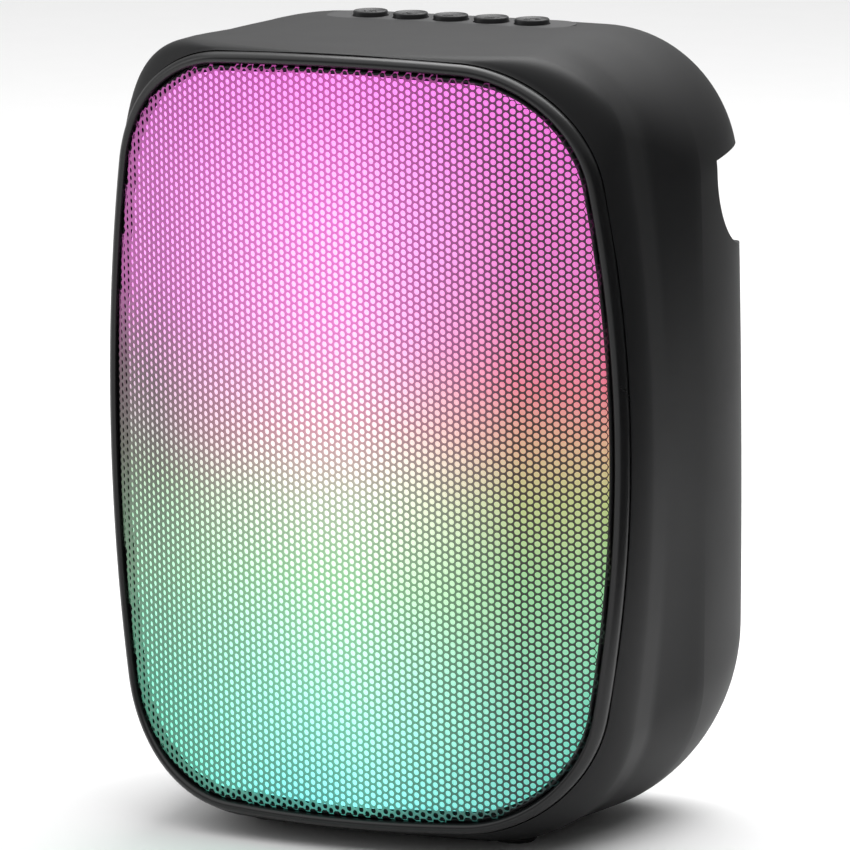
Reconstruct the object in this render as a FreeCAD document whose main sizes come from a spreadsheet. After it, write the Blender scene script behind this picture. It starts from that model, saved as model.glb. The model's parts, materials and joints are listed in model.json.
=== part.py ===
"""Portable party speaker with a curved, lit grille, as a parametric assembly.

Millimetres. The origin is at the centre of the base: +Z is up, the grille faces -Y and +X is to the
right of someone who looks at the grille. Depths run back from the foremost line of the front sheet.
"""
import FreeCAD, Part
import math
import os
import re
import Sketcher
from FreeCAD import Vector

doc = FreeCAD.newDocument("party_speaker")

# ---------------------------------------------------------------- driving dimensions
SIZES = {
    # overall form
    "overall_width": 190.4,
    "overall_depth": 120.0,
    "ring_centre": 133.0,        # height of the middle of the front
    "foot_height": 2.0,
    # front: a sheet bent round upright axes, flatter in the middle than at the cheeks
    "crown_radius": 320.0,
    "crown_reach": 40.0,
    "cheek_radius": 147.0,
    # trim ring: the outline of its crest is eight tangent arcs
    "crest_half_width": 91.2,
    "crest_half_height": 123.9,
    "crest_corner": 45.0,
    "crest_side_bow": 530.0,
    "crest_top_bow": 800.0,
    "ring_outer_lip": 1.6,
    "ring_inner_lip": 2.2,
    "ring_proud": 1.5,
    "ring_depth": 4.0,
    "ring_gap": 0.15,
    # cabinet shell
    "wall": 2.6,
    "mouth_edge": 0.5,
    "edge_setback": 2.5,
    "shoulder_depth": 28.0,
    "split_depth": 72.0,         # where the front shell meets the rear cover
    "shoulder_corner": 42.0,
    "shoulder_bow": 650.0,
    "cabinet_bow": 4000.0,
    "cabinet_top": 126.8,        # top face above ring_centre
    "round_depth": 45.0,         # the rear edges round off over this depth
    "round_top": 6.0,
    "round_side": 8.0,
    "round_bottom": 21.0,
    # hand grip across the back
    "grip_lip": 88.0,            # underside of the lip, above ring_centre
    "grip_slope": 3.4,
    "grip_depth": 29.5,
    "grip_scoop": 26.0,
    "grip_floor": 54.0,
    "grip_wall": 3.0,
    # front frame and grille
    "frame_gap": 0.3,
    "frame_wall": 2.4,
    "ledge_width": 6.0,
    "ledge_sheet": 3.0,
    "grille_gap": 0.3,
    "grille_sheet": 0.8,
    "grille_flange": 3.2,
    # light
    "diffuser_offset": 4.2,
    "diffuser_sheet": 1.2,
    "diffuser_gap": 0.8,
    "diffuser_post": 3.0,
    "post_stand_x": 58.0,
    "post_stand_z": 92.0,
    "led_board_sheet": 1.4,
    "led_board_gap": 8.0,
    "led_size": 5.0,
    "led_height": 1.6,
    "led_pitch": 20.0,
    # baffle
    "baffle_front": 30.0,
    "baffle_sheet": 4.0,
    "baffle_gap": 0.5,
    "baffle_screw_x": 85.0,
    "baffle_screw_z": 45.0,
    "baffle_screw_side": 36.0,
    "baffle_screw_top": 117.5,
    # driver, about the middle of the baffle
    "driver_radius": 51.0,
    "driver_flange": 1.6,
    "gasket_sheet": 1.2,
    "driver_seat": 46.5,
    "driver_hole_circle": 48.6,
    "basket_sheet": 1.2,
    "spider_radius": 30.8,
    "spider_lift": 5.0,
    "basket_depth": 24.0,
    "cone_radius": 38.0,
    "cone_sheet": 0.8,
    "cone_drop": 17.0,
    "roll_height": 4.0,
    "coil_radius": 12.8,
    "coil_wall": 0.5,
    "coil_gap": 0.8,
    "magnet_radius": 35.0,
    "magnet_sheet": 13.0,
    "plate_sheet": 4.0,
    "cone_travel": 3.0,
    # buttons
    "button_pitch": 14.6,
    "button_radius": 5.7,
    "button_proud": 1.3,
    "button_gap": 0.3,
    "button_travel": 0.6,
    "button_row": 87.0,
    "button_stem": 2.0,
    "panel_half_length": 44.0,
    "panel_half_width": 10.0,
    "panel_sheet": 1.4,
    "panel_sunk": 0.4,
    "tact_height": 3.5,
    "tact_half": 3.0,
    # rear connection panel
    "socket_row": 52.0,
    "rear_panel_half_length": 52.0,
    "rear_panel_half_width": 14.0,
    "rear_panel_sheet": 1.4,
    "socket_gap": 0.3,
    "switch_travel": 3.0,
    "board_sheet": 1.6,
    "board_half_width": 56.0,
    "board_length": 44.0,
    "led_lead_x": 52.0,
    "led_lead_z": 72.0,
    # battery
    "cell_radius": 9.2,
    "cell_length": 65.0,
    "cell_row": 60.0,
    "tray_floor": 6.0,
    "tray_wall": 2.0,
    # fasteners and feet
    "boss_radius": 4.5,
    "boss_meeting": 60.0,
    "boss_x": 70.0,
    "boss_x_middle": 77.0,
    "boss_z": 100.0,
    "boss_z_middle": 5.0,
    "screw_radius": 1.5,
    "screw_head_radius": 3.0,
    "screw_head_height": 2.2,
    "screw_bite": 10.0,
    "foot_radius": 7.0,
    "foot_stand_x": 44.0,
    "foot_front": 37.0,
    "foot_rear": 80.0,
    "foot_sunk": 0.8,
}

sheet = doc.addObject("Spreadsheet::Sheet", "Sizes")
for row, (alias, value) in enumerate(SIZES.items(), start=1):
    sheet.set("A%d" % row, alias)
    sheet.set("B%d" % row, str(value))
    sheet.setAlias("B%d" % row, alias)
doc.recompute()

# Places and lengths that several pieces share, each written once in terms of the sheet.
SHARED = {
    "apex": "(ring_proud - overall_depth / 2)",
    "back": "(overall_depth / 2)",
    "half_width": "(overall_width / 2)",
    "floor_drop": "(ring_centre - foot_height)",
    "top_face": "(ring_centre + cabinet_top)",
    "baffle_face": "(apex + baffle_front)",
    "baffle_back": "(apex + baffle_front + baffle_sheet)",
    "led_face": "(baffle_face - led_board_sheet)",
    "flange_face": "(baffle_face - gasket_sheet - driver_flange)",
    "basket_floor": "(baffle_face + basket_depth)",
    "spider_seat": "(basket_floor - spider_lift)",
    "gap_front": "(basket_floor + basket_sheet)",
    "gap_back": "(gap_front + plate_sheet)",
    "yoke_face": "(gap_back + magnet_sheet)",
    "split": "(apex + split_depth)",
    "cover_joint": "(ring_centre + grip_lip - grip_slope - 0.2)",
    "boss_face": "(apex + boss_meeting)",
    "panel_floor": "(top_face - panel_sunk - panel_sheet)",
    "button_line": "(apex + button_row)",
    "socket_face": "(back - rear_panel_sheet)",
    "board_top": "(socket_row - 4)",
}


def formula(text):
    """A size formula with every shared length written out and every alias read from the sheet."""
    text = str(text)
    while any(word in SHARED for word in re.findall(r"[A-Za-z_]\w*", text)):
        text = re.sub(r"[A-Za-z_]\w*", lambda m: SHARED.get(m.group(), m.group()), text)
    return re.sub(r"[A-Za-z_]\w*", lambda m: "Sizes." + m.group() if m.group() in SIZES else m.group(), text)


def number(text):
    """The value of a size formula, worked out by the sheet in a spare cell."""
    cells = {alias: "B%d" % row for row, alias in enumerate(SIZES, start=1)}
    words = formula(text).replace("Sizes.", "")
    sheet.set("D1", "=" + re.sub(r"[A-Za-z_]\w*", lambda m: cells.get(m.group(), m.group()), words))
    sheet.recompute()
    return float(sheet.get("D1"))


def bind(thing, **formulas):
    """Ties properties of a document object to size formulas."""
    for path, text in formulas.items():
        thing.setExpression(path.replace("__", "."), formula(text))


def place(thing, x="0", y="0", z="0"):
    bind(thing, Placement__Base__x=x, Placement__Base__y=y, Placement__Base__z=z)
    return thing


# ---------------------------------------------------------------- sketches
AXIS_X, AXIS_Y = -1, -2


def new_sketch(body, role, x="0", y="0", z="0"):
    """A sketch on one of the body's own origin planes, moved to x, y, z of the assembly."""
    sketch = body.newObject("Sketcher::SketchObject", body.Name + "_sketch")
    plane = next(f for f in body.Origin.OriginFeatures if f.Role == role)
    sketch.AttachmentSupport = [(plane, "")]
    sketch.MapMode = "FlatFace"
    local = {"XY_Plane": (x, y, z), "XZ_Plane": (x, z, "-(%s)" % y), "YZ_Plane": (y, z, x)}[role]
    for axis, text in zip("xyz", local):
        bind(sketch, **{"AttachmentOffset__Base__" + axis: text})
    return sketch


def hold(sketch, geometry, point, x, y):
    """Fixes one point of a sketch at the formulas x and y."""
    for kind, axis, text in (("DistanceX", AXIS_Y, x), ("DistanceY", AXIS_X, y)):
        if str(text) == "0":
            sketch.addConstraint(Sketcher.Constraint("PointOnObject", geometry, point, axis))
        else:
            index = sketch.addConstraint(Sketcher.Constraint(kind, -1, 1, geometry, point, number(text)))
            bind(sketch, **{"Constraints[%d]" % index: text})


def polygon(sketch, corners):
    """A closed outline of straight lines through the given corners."""
    spots = [Vector(number(x), number(y), 0) for x, y in corners]
    first = sketch.GeometryCount
    for spot, following in zip(spots, spots[1:] + spots[:1]):
        sketch.addGeometry(Part.LineSegment(spot, following))
    for i in range(len(spots)):
        before = first + (i - 1) % len(spots)
        sketch.addConstraint(Sketcher.Constraint("Coincident", before, 2, first + i, 1))
        hold(sketch, first + i, 1, *corners[i])


def circle(sketch, x, y, radius):
    index = sketch.addGeometry(Part.Circle(Vector(number(x), number(y), 0), Vector(0, 0, 1), number(radius)))
    size = sketch.addConstraint(Sketcher.Constraint("Radius", index, number(radius)))
    bind(sketch, **{"Constraints[%d]" % size: radius})
    hold(sketch, index, 3, x, y)


def rectangle(sketch, half_x, half_y, x="0", y="0"):
    polygon(sketch, [("%s + %s * (%s)" % (x, sx, half_x), "%s + %s * (%s)" % (y, sy, half_y))
                     for sx, sy in ((-1, -1), (1, -1), (1, 1), (-1, 1))])


def bowed_outline(sketch, half_width, half_height, corner, side_bow, top_bow):
    """A rounded rectangle whose four sides bow outwards: eight arcs, each tangent to the next."""
    a, b, r = number(half_width), number(half_height), number(corner)
    side, top = number(side_bow), number(top_bow)
    left, low = a - side, b - top
    # The corner's centre lies side - r from the side arc's centre and top - r from the top arc's.
    span = math.hypot(left, low)
    along = ((side - r) ** 2 - (top - r) ** 2 + span ** 2) / (2 * span)
    off = math.sqrt((side - r) ** 2 - along ** 2)
    cx = left - left / span * along - low / span * off
    cy = low / span * along - left / span * off
    turn_side = math.atan2(cy, cx - left)
    turn_top = math.atan2(cy - low, cx)
    quarter, half, full = math.pi / 2, math.pi, 2 * math.pi
    arcs = [
        (left, 0, side, -turn_side, turn_side),
        (cx, cy, r, turn_side, turn_top),
        (0, low, top, turn_top, half - turn_top),
        (-cx, cy, r, half - turn_top, half - turn_side),
        (-left, 0, side, half - turn_side, half + turn_side),
        (-cx, -cy, r, half + turn_side, half + turn_top),
        (0, -low, top, half + turn_top, full - turn_top),
        (cx, -cy, r, full - turn_top, full - turn_side),
    ]
    first = sketch.GeometryCount
    for x, y, radius, start, end in arcs:
        ring = Part.Circle(Vector(x, y, 0), Vector(0, 0, 1), radius)
        sketch.addGeometry(Part.ArcOfCircle(ring, start, end))
    for i in range(8):
        sketch.addConstraint(Sketcher.Constraint("Tangent", first + i, 2, first + (i + 1) % 8, 1))
    for i, size in enumerate((side_bow, corner, top_bow, corner) * 2):
        index = sketch.addConstraint(Sketcher.Constraint("Radius", first + i, number(size)))
        bind(sketch, **{"Constraints[%d]" % index: size})
    side_place = "(%s) - (%s)" % (half_width, side_bow)
    top_place = "(%s) - (%s)" % (half_height, top_bow)
    hold(sketch, first, 3, side_place, "0")
    hold(sketch, first + 2, 3, "0", top_place)
    hold(sketch, first + 4, 3, "-(%s)" % side_place, "0")
    hold(sketch, first + 6, 3, "0", "-(%s)" % top_place)


def front_curve(sketch, shift, far):
    """The bent front in plan, moved back by shift and closed off by straight lines at Y = far."""
    reach, crown, cheek = number("crown_reach"), number("crown_radius"), number("cheek_radius")
    edge = number("half_width") + 12
    nose = number("apex") + number(shift)
    lean = math.asin(reach / crown)
    cx, cy = reach * (1 - cheek / crown), nose + crown - (crown - cheek) * math.cos(lean)
    swing = math.asin((edge - cx) / cheek)
    down = 1.5 * math.pi
    middle_arc = Part.Circle(Vector(0, nose + crown, 0), Vector(0, 0, 1), crown)
    right_arc = Part.Circle(Vector(cx, cy, 0), Vector(0, 0, 1), cheek)
    left_arc = Part.Circle(Vector(-cx, cy, 0), Vector(0, 0, 1), cheek)
    sketch.addGeometry(Part.ArcOfCircle(left_arc, down - swing, down - lean))
    sketch.addGeometry(Part.ArcOfCircle(middle_arc, down - lean, down + lean))
    sketch.addGeometry(Part.ArcOfCircle(right_arc, down + lean, down + swing))
    end_y = cy - cheek * math.cos(swing)
    spots = [Vector(edge, end_y, 0), Vector(edge, number(far), 0),
             Vector(-edge, number(far), 0), Vector(-edge, end_y, 0)]
    for a, b in zip(spots, spots[1:]):
        sketch.addGeometry(Part.LineSegment(a, b))
    for a, b in ((0, 1), (1, 2)):
        sketch.addConstraint(Sketcher.Constraint("Tangent", a, 2, b, 1))
    for a, b in ((2, 3), (3, 4), (4, 5), (5, 0)):
        sketch.addConstraint(Sketcher.Constraint("Coincident", a, 2, b, 1))
    for index, size in ((0, "cheek_radius"), (1, "crown_radius"), (2, "cheek_radius")):
        spot = sketch.addConstraint(Sketcher.Constraint("Radius", index, number(size)))
        bind(sketch, **{"Constraints[%d]" % spot: size})
    hold(sketch, 1, 3, "0", "apex + (%s) + crown_radius" % shift)
    for index, point, size in ((1, 1, "-crown_reach"), (1, 2, "crown_reach"),
                               (0, 1, "-(half_width + 12)"), (2, 2, "half_width + 12")):
        spot = sketch.addConstraint(Sketcher.Constraint("DistanceX", -1, 1, index, point, number(size)))
        bind(sketch, **{"Constraints[%d]" % spot: size})
    hold(sketch, 4, 1, "half_width + 12", far)
    hold(sketch, 4, 2, "-(half_width + 12)", far)


# ---------------------------------------------------------------- solids
def new_body(name):
    return doc.addObject("PartDesign::Body", name)


def pad(body, sketch, length, flip=False):
    feature = body.newObject("PartDesign::Pad", body.Name + "_pad")
    feature.Profile = sketch
    bind(feature, Length=length)
    feature.Reversed = flip
    body.Tip = feature
    return body


def plate(name, draw, front, thickness, x="0", z="ring_centre"):
    """A flat piece that faces -Y: draw(sketch) gives its outline and holes about x, z."""
    body = new_body(name)
    sketch = new_sketch(body, "XZ_Plane", x, front, z)
    draw(sketch)
    return pad(body, sketch, thickness, flip=True)


def shelf(name, draw, bottom, thickness, x="0", y="0"):
    """A flat piece that lies level: draw(sketch) gives its outline and holes about x, y."""
    body = new_body(name)
    sketch = new_sketch(body, "XY_Plane", x, y, bottom)
    draw(sketch)
    return pad(body, sketch, thickness)


def turned(name, profile, axis="Y", x="0", y="0", z="0"):
    """A round piece: profile is its half section as (distance along the axis, radius) formulas."""
    body = new_body(name)
    along_y = axis == "Y"
    sketch = new_sketch(body, "YZ_Plane" if along_y else "XZ_Plane")
    polygon(sketch, profile if along_y else [(radius, along) for along, radius in profile])
    feature = body.newObject("PartDesign::Revolution", name + "_turn")
    feature.Profile = sketch
    feature.ReferenceAxis = (sketch, ["H_Axis" if along_y else "V_Axis"])
    feature.Angle = 360
    body.Tip = feature
    return place(body, x, y, z)


def rod(name, radius, start, length, axis="Y", x="0", y="0", z="0"):
    """A plain cylinder that starts at the given distance along its axis."""
    thing = doc.addObject("Part::Cylinder", name)
    bind(thing, Radius=radius, Height=length)
    turn = {"X": FreeCAD.Rotation(Vector(0, 1, 0), 90), "Y": FreeCAD.Rotation(Vector(1, 0, 0), -90),
            "Z": FreeCAD.Rotation()}[axis]
    thing.Placement = FreeCAD.Placement(Vector(), turn)
    spot = {"X": (start, y, z), "Y": (x, start, z), "Z": (x, y, start)}[axis]
    return place(thing, *spot)


def block(name, low, size):
    """A plain box from its lowest corner and its three sides."""
    thing = doc.addObject("Part::Box", name)
    bind(thing, Length=size[0], Width=size[1], Height=size[2])
    return place(thing, *low)


def middle_block(name, half_x, half_z, front, depth, x="0", z="0"):
    """A plain box centred on x, z that runs back from front."""
    return block(name, ("%s - (%s)" % (x, half_x), front, "%s - (%s)" % (z, half_z)),
                 ("2 * (%s)" % half_x, depth, "2 * (%s)" % half_z))


def join(name, *parts):
    thing = doc.addObject("Part::MultiFuse", name)
    thing.Shapes = list(parts)
    return thing


def cut(name, base, *tools):
    thing = doc.addObject("Part::Cut", name)
    thing.Base = base
    thing.Tool = tools[0] if len(tools) == 1 else join(name + "_tools", *tools)
    return thing


def overlap(name, *parts):
    thing = doc.addObject("Part::MultiCommon", name)
    thing.Shapes = list(parts)
    return thing


def group(name, parts):
    """Several like pieces, each its own solid, kept as one sub-part."""
    thing = doc.addObject("Part::Compound", name)
    thing.Links = list(parts)
    return thing


nodes = {}


def node(name, thing):
    """Names a finished sub-part."""
    thing.Label = name
    nodes[name] = thing
    return thing


# ---------------------------------------------------------------- shared forms
def section_outline(body, depth, side, top, bottom, corner, side_bow, top_bow, inset):
    """One cross-section of the cabinet at a depth, pulled in all round by inset."""
    rise = "((%s) - (%s)) / 2" % (top, bottom)
    sketch = new_sketch(body, "XZ_Plane", "0", "apex + (%s)" % depth, "ring_centre + " + rise)
    bowed_outline(sketch, "(%s) - (%s)" % (side, inset), "((%s) + (%s)) / 2 - (%s)" % (top, bottom, inset),
                  "(%s) - (%s)" % (corner, inset), "(%s) - (%s)" % (side_bow, inset),
                  "(%s) - (%s)" % (top_bow, inset))
    return sketch


ROUND_STEPS = (0, 22, 42, 60, 76, 90)


def cabinet_form(name, inset, front_depth, back_inset):
    """The closed outer form of the cabinet, or that form pulled in by a wall."""
    body = new_body(name)
    mouth = "crest_%s + ring_outer_lip + mouth_edge"
    bow = "cabinet_bow"
    sections = [section_outline(body, front_depth, "half_width", mouth % "half_height",
                                mouth % "half_height",
                                mouth % "corner", mouth % "side_bow", mouth % "top_bow", inset)]
    sections.append(section_outline(body, "shoulder_depth", "half_width", "cabinet_top", "floor_drop",
                                    "shoulder_corner", "shoulder_bow", bow, inset))
    start = "overall_depth - ring_proud - round_depth"
    for angle in ROUND_STEPS:
        run = "(round_depth - (%s)) * %.6f" % (back_inset, math.sin(math.radians(angle)))
        share = "%.6f" % (1 - math.cos(math.radians(angle)))
        sections.append(section_outline(
            body, "%s + %s" % (start, run), "half_width - round_side * " + share,
            "cabinet_top - round_top * " + share, "floor_drop - round_bottom * " + share,
            "shoulder_corner - round_side * %s / 2" % share, bow, bow, inset))
    loft = body.newObject("PartDesign::AdditiveLoft", name + "_loft")
    loft.Profile = sections[0]
    loft.Sections = sections[1:]
    loft.Ruled = True
    body.Tip = loft
    return body


def front_side(name, shift, behind):
    """Everything in front of, or behind, the bent front when it is moved back by shift."""
    body = new_body(name)
    sketch = new_sketch(body, "XY_Plane", "0", "0", "-20")
    front_curve(sketch, shift, "back + 20" if behind else "-(overall_depth / 2) - 20")
    return pad(body, sketch, "top_face + 60")


def ring_plate(name, inset, depth="60"):
    """A thick plate with the crest's outline, pulled in by inset."""
    def draw(sketch):
        bowed_outline(sketch, *["crest_%s - (%s)" % (part, inset)
                                for part in ("half_width", "half_height", "corner", "side_bow", "top_bow")])
    return plate(name, draw, "apex - 10", depth)


outer_form = cabinet_form("outer_form", "0", "-6", "0")
inner_form = cabinet_form("inner_form", "wall", "-6", "wall")


def grip_profile(name, grow):
    """The scoop across the back as a bar along X, larger all round by grow."""
    body = new_body(name)
    sketch = new_sketch(body, "YZ_Plane", "-(half_width + 10)")
    inner = "back - grip_depth - (%s)" % grow
    lip = "ring_centre + grip_lip + (%s)" % grow
    floor = "ring_centre + grip_floor - (%s)" % grow
    radius = "grip_scoop + (%s)" % grow
    outline = [("back + 12", lip), (inner, lip + " - grip_slope"), (inner, "%s + %s" % (floor, radius)),
               ("%s + %s" % (inner, radius), floor), ("back + 12", floor)]
    spots = [Vector(number(y), number(z), 0) for y, z in outline]
    centre = Vector(spots[3].x, spots[2].y, 0)
    ring = Part.Circle(centre, Vector(0, 0, 1), number(radius))
    sketch.addGeometry(Part.LineSegment(spots[0], spots[1]))
    sketch.addGeometry(Part.LineSegment(spots[1], spots[2]))
    sketch.addGeometry(Part.ArcOfCircle(ring, math.pi, 1.5 * math.pi))
    sketch.addGeometry(Part.LineSegment(spots[3], spots[4]))
    sketch.addGeometry(Part.LineSegment(spots[4], spots[0]))
    for a, end, b, start in ((0, 2, 1, 1), (1, 2, 2, 1), (2, 2, 3, 1), (3, 2, 4, 1), (4, 2, 0, 1)):
        sketch.addConstraint(Sketcher.Constraint("Coincident", a, end, b, start))
    for geometry, point, spot in ((0, 1, 0), (1, 1, 1), (1, 2, 2), (3, 1, 3), (3, 2, 4)):
        hold(sketch, geometry, point, *outline[spot])
    size = sketch.addConstraint(Sketcher.Constraint("Radius", 2, number(radius)))
    bind(sketch, **{"Constraints[%d]" % size: radius})
    return pad(body, sketch, "overall_width + 20")


# ---------------------------------------------------------------- places of fasteners
SIDES = (-1, 1)
CABINET_BOSSES = [("%d * boss_x" % s, "ring_centre + %d * boss_z" % t) for s in SIDES for t in SIDES]
CABINET_BOSSES += [("%d * boss_x_middle" % s, "ring_centre - boss_z_middle") for s in SIDES]
BAFFLE_SCREWS = [("%d * baffle_screw_x" % s, "ring_centre + %d * baffle_screw_z" % t)
                 for s in SIDES for t in SIDES]
BAFFLE_SCREWS += [("%d * baffle_screw_side" % s, "ring_centre + %d * baffle_screw_top" % t)
                  for s in SIDES for t in SIDES]
DIFFUSER_POSTS = [("%d * post_stand_x" % s, "ring_centre + %d * post_stand_z" % t)
                  for s in SIDES for t in SIDES]
DRIVER_SCREWS = [("driver_hole_circle * %.6f" % math.cos(math.radians(a)),
                  "ring_centre + driver_hole_circle * %.6f" % math.sin(math.radians(a)))
                 for a in (45, 135, 225, 315)]
FEET = [("%d * foot_stand_x" % s, "apex + " + depth) for s in SIDES for depth in ("foot_front", "foot_rear")]


def screw(name, x, z, head_front, length, head_to_back=True):
    """A pan-head screw along Y, with a cross recess left to the finish."""
    head = "screw_head_height"
    if head_to_back:
        profile = [(head_front, "0"), (head_front, "screw_radius"),
                   ("%s + (%s)" % (head_front, length), "screw_radius"),
                   ("%s + (%s)" % (head_front, length), "screw_head_radius"),
                   ("%s + (%s) + %s * 0.6" % (head_front, length, head), "screw_head_radius"),
                   ("%s + (%s) + %s" % (head_front, length, head), "screw_head_radius * 0.6"),
                   ("%s + (%s) + %s" % (head_front, length, head), "0")]
    else:
        profile = [(head_front, "0"), (head_front, "screw_head_radius * 0.6"),
                   ("%s + %s * 0.4" % (head_front, head), "screw_head_radius"),
                   ("%s + %s" % (head_front, head), "screw_head_radius"),
                   ("%s + %s" % (head_front, head), "screw_radius"),
                   ("%s + %s + (%s)" % (head_front, head, length), "screw_radius"),
                   ("%s + %s + (%s)" % (head_front, head, length), "0")]
    return turned(name, profile, x=x, z=z)


# ---------------------------------------------------------------- cabinet shell
RIM = "ring_depth"
behind_edge = front_side("behind_edge", "edge_setback", True)
skin = overlap("shell_skin", outer_form, behind_edge)
grip = grip_profile("grip_cut", "0")
grip_shell = grip_profile("grip_shell", "grip_wall")
cavity = cut("shell_cavity", inner_form, grip_shell)
mouth = overlap("shell_mouth", ring_plate("mouth_plate", "-(ring_outer_lip + ring_gap)"),
                front_side("before_rim", RIM, False))

panel_outline = ("panel_half_length", "panel_half_width", "panel_half_width - 0.5", "cabinet_bow",
                 "cabinet_bow")


def level_outline(grow):
    def draw(sketch):
        bowed_outline(sketch, *["%s + (%s)" % (size, grow) for size in panel_outline])
    return draw


BUTTONS = ("power", "previous", "play", "next", "light")
BUTTON_X = {name: "%d * button_pitch" % (i - 2) for i, name in enumerate(BUTTONS)}
panel_pocket = shelf("panel_pocket", level_outline("0.1"), "panel_floor", "10", y="button_line")
button_holes = [rod("button_hole_" + name, "button_stem + 0.6", "panel_floor - 8", "12", "Z",
                    x=BUTTON_X[name], y="button_line") for name in BUTTONS]

SOCKETS = {
    # aperture in the rear panel: place along X, half width, half height
    "switch": ("-40", "3.9", "1.7"),
    "aux": ("-21", "3.1", "3.1"),
    "usb_a": ("0", "6.85", "3.15"),
    "usb_c": ("20", "4.8", "1.95"),
    "card": ("37", "6.2", "1.0"),
}


def socket_openings(prefix, front, depth):
    holes = [middle_block(prefix + name, w, t, front, depth, x, "socket_row")
             for name, (x, w, t) in SOCKETS.items() if name != "aux"]
    holes.append(rod(prefix + "aux", SOCKETS["aux"][1], front, depth, x=SOCKETS["aux"][0], z="socket_row"))
    return holes


rear_panel_cut = plate("rear_panel_cut", lambda s: bowed_outline(
    s, "rear_panel_half_length + 0.1", "rear_panel_half_width + 0.1", "4.1", "cabinet_bow", "cabinet_bow"),
    "socket_face", "6", z="socket_row")
service_window = middle_block("service_window", "rear_panel_half_length - 3", "rear_panel_half_width - 3",
                              "back - wall - 2", "6", "0", "socket_row")
foot_seats = [rod("foot_seat_%d" % i, "foot_radius + 0.1", "foot_height - 3", "3 + foot_sunk", "Z", x=x, y=y)
              for i, (x, y) in enumerate(FEET)]

shell_bosses = []
boss_bores = []
for i, (x, z) in enumerate(CABINET_BOSSES):
    shell_bosses.append(rod("shell_boss_%d" % i, "boss_radius", "boss_face", "back - boss_face - wall / 2",
                            x=x, z=z))
    boss_bores.append(rod("boss_bore_%d" % i, "screw_radius + 0.2", "boss_face - 1", "20", x=x, z=z))
    boss_bores.append(rod("boss_sink_%d" % i, "screw_head_radius + 0.4", "boss_face + 6", "back - boss_face",
                          x=x, z=z))
BOARD_SCREWS = [(s, back) for s in SIDES for back in ("12", "34")]
switch_board_top = "(panel_floor - 3.6 - tact_height - 0.05)"
TRAY_PADS = [("-30", "14"), ("30", "14")]
tray_pads = [block("tray_pad_%d" % i, ("%s - 6" % x, "split - 26", "foot_height + wall / 2"),
                   ("12", "25", "tray_floor - foot_height - wall / 2"))
                   for i, (x, _) in enumerate(TRAY_PADS)]
board_rails = [block("board_rail_%d" % i, ("%d * 46 - 4" % s, "back - wall - board_length + 6",
                                           "board_top - board_sheet - 5"),
                     ("8", "board_length - 6 + wall / 2", "5")) for i, s in enumerate(SIDES)]
switch_rails = [block("switch_rail_%d" % i, ("%d * (panel_half_length - 3) - 2" % s, "button_line - 7",
                                             switch_board_top),
                      ("4", "14", "panel_floor - %s" % switch_board_top)) for i, s in enumerate(SIDES)]
rail_bores = [rod("rail_bore_%d" % i, "1.05", "board_top - board_sheet - 4", "6", "Z", x="%d * 46" % s,
                  y="back - wall - " + back) for i, (s, back) in enumerate(BOARD_SCREWS)]
panel_bed = shelf("panel_bed", level_outline("2"), "panel_floor - 1.6", "2.4", y="button_line")

hollow_shell = cut("hollow_shell", skin, cavity, mouth, grip)


def half_space(name, front, depth):
    return block(name, ("-half_width - 20", front, "-20"), ("overall_width + 40", depth, "top_face + 60"))


front_half = overlap("front_half", hollow_shell,
                     half_space("front_space", "-overall_depth", "overall_depth + split"))
rear_half = overlap("rear_half", hollow_shell, half_space("rear_space", "split", "overall_depth"))
upper_space = block("upper_space", ("-half_width - 20", "split - 1", "cover_joint"),
                    ("overall_width + 40", "overall_depth", "60"))
node("cabinet_shell", cut("cabinet_shell", join("front_solid", front_half, *tray_pads), *foot_seats[::2]))
lower_bosses = shell_bosses[::2] + shell_bosses[5:]
upper_bosses = [boss for boss in shell_bosses if boss not in lower_bosses]
rear_solid = join("rear_solid", cut("rear_lower", rear_half, upper_space), *(lower_bosses + board_rails))
node("rear_cover", cut("rear_cover", rear_solid, rear_panel_cut, service_window,
                       *(foot_seats[1::2] + boss_bores + rail_bores)))
top_solid = join("top_solid", overlap("rear_upper", rear_half, upper_space), panel_bed,
                 *(upper_bosses + switch_rails))
node("top_cover", cut("top_cover", top_solid, panel_pocket, *(button_holes + boss_bores)))

node("rubber_feet", group("rubber_feet", [
    turned("foot_%d" % i, [("0", "0"), ("0", "foot_radius - 0.8"), ("0.8", "foot_radius"),
                           ("foot_height + foot_sunk", "foot_radius"), ("foot_height + foot_sunk", "0")],
           "Z", x, y) for i, (x, y) in enumerate(FEET)]))

node("cabinet_screws", group("cabinet_screws", [
    screw("cabinet_screw_%d" % i, x, z, "boss_face - screw_bite", "screw_bite + 6")
    for i, (x, z) in enumerate(CABINET_BOSSES)]))

# ---------------------------------------------------------------- front: frame, ring, grille
mouth_inset = "wall + frame_gap - ring_outer_lip - mouth_edge"
frame_blank = overlap("frame_blank", ring_plate("frame_plate", mouth_inset, "10 + baffle_front"),
                      front_side("behind_rim", RIM, True))
frame_hollow = overlap("frame_hollow", ring_plate("frame_hollow_plate", mouth_inset + " + frame_wall"),
                       front_side("behind_ledge", RIM + " + ledge_sheet", True))
window = ring_plate("frame_window", "ledge_width - ring_outer_lip")
frame_posts = overlap("frame_posts", join("frame_post_rods", *[
    rod("frame_post_%d" % i, "3.4", "apex", "baffle_front", x=x, z=z)
    for i, (x, z) in enumerate(BAFFLE_SCREWS)]),
    front_side("behind_post", "diffuser_offset + diffuser_sheet + 0.4", True),
    ring_plate("post_limit", mouth_inset + " + 0.1"))
frame_bores = [rod("frame_bore_%d" % i, "screw_radius + 0.05", "baffle_face - 8", "12", x=x, z=z)
               for i, (x, z) in enumerate(BAFFLE_SCREWS)]
frame_ring = cut("frame_ring", frame_blank, frame_hollow, window)
node("front_frame", cut("front_frame", join("frame_with_posts", frame_ring, frame_posts), *frame_bores))

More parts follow.
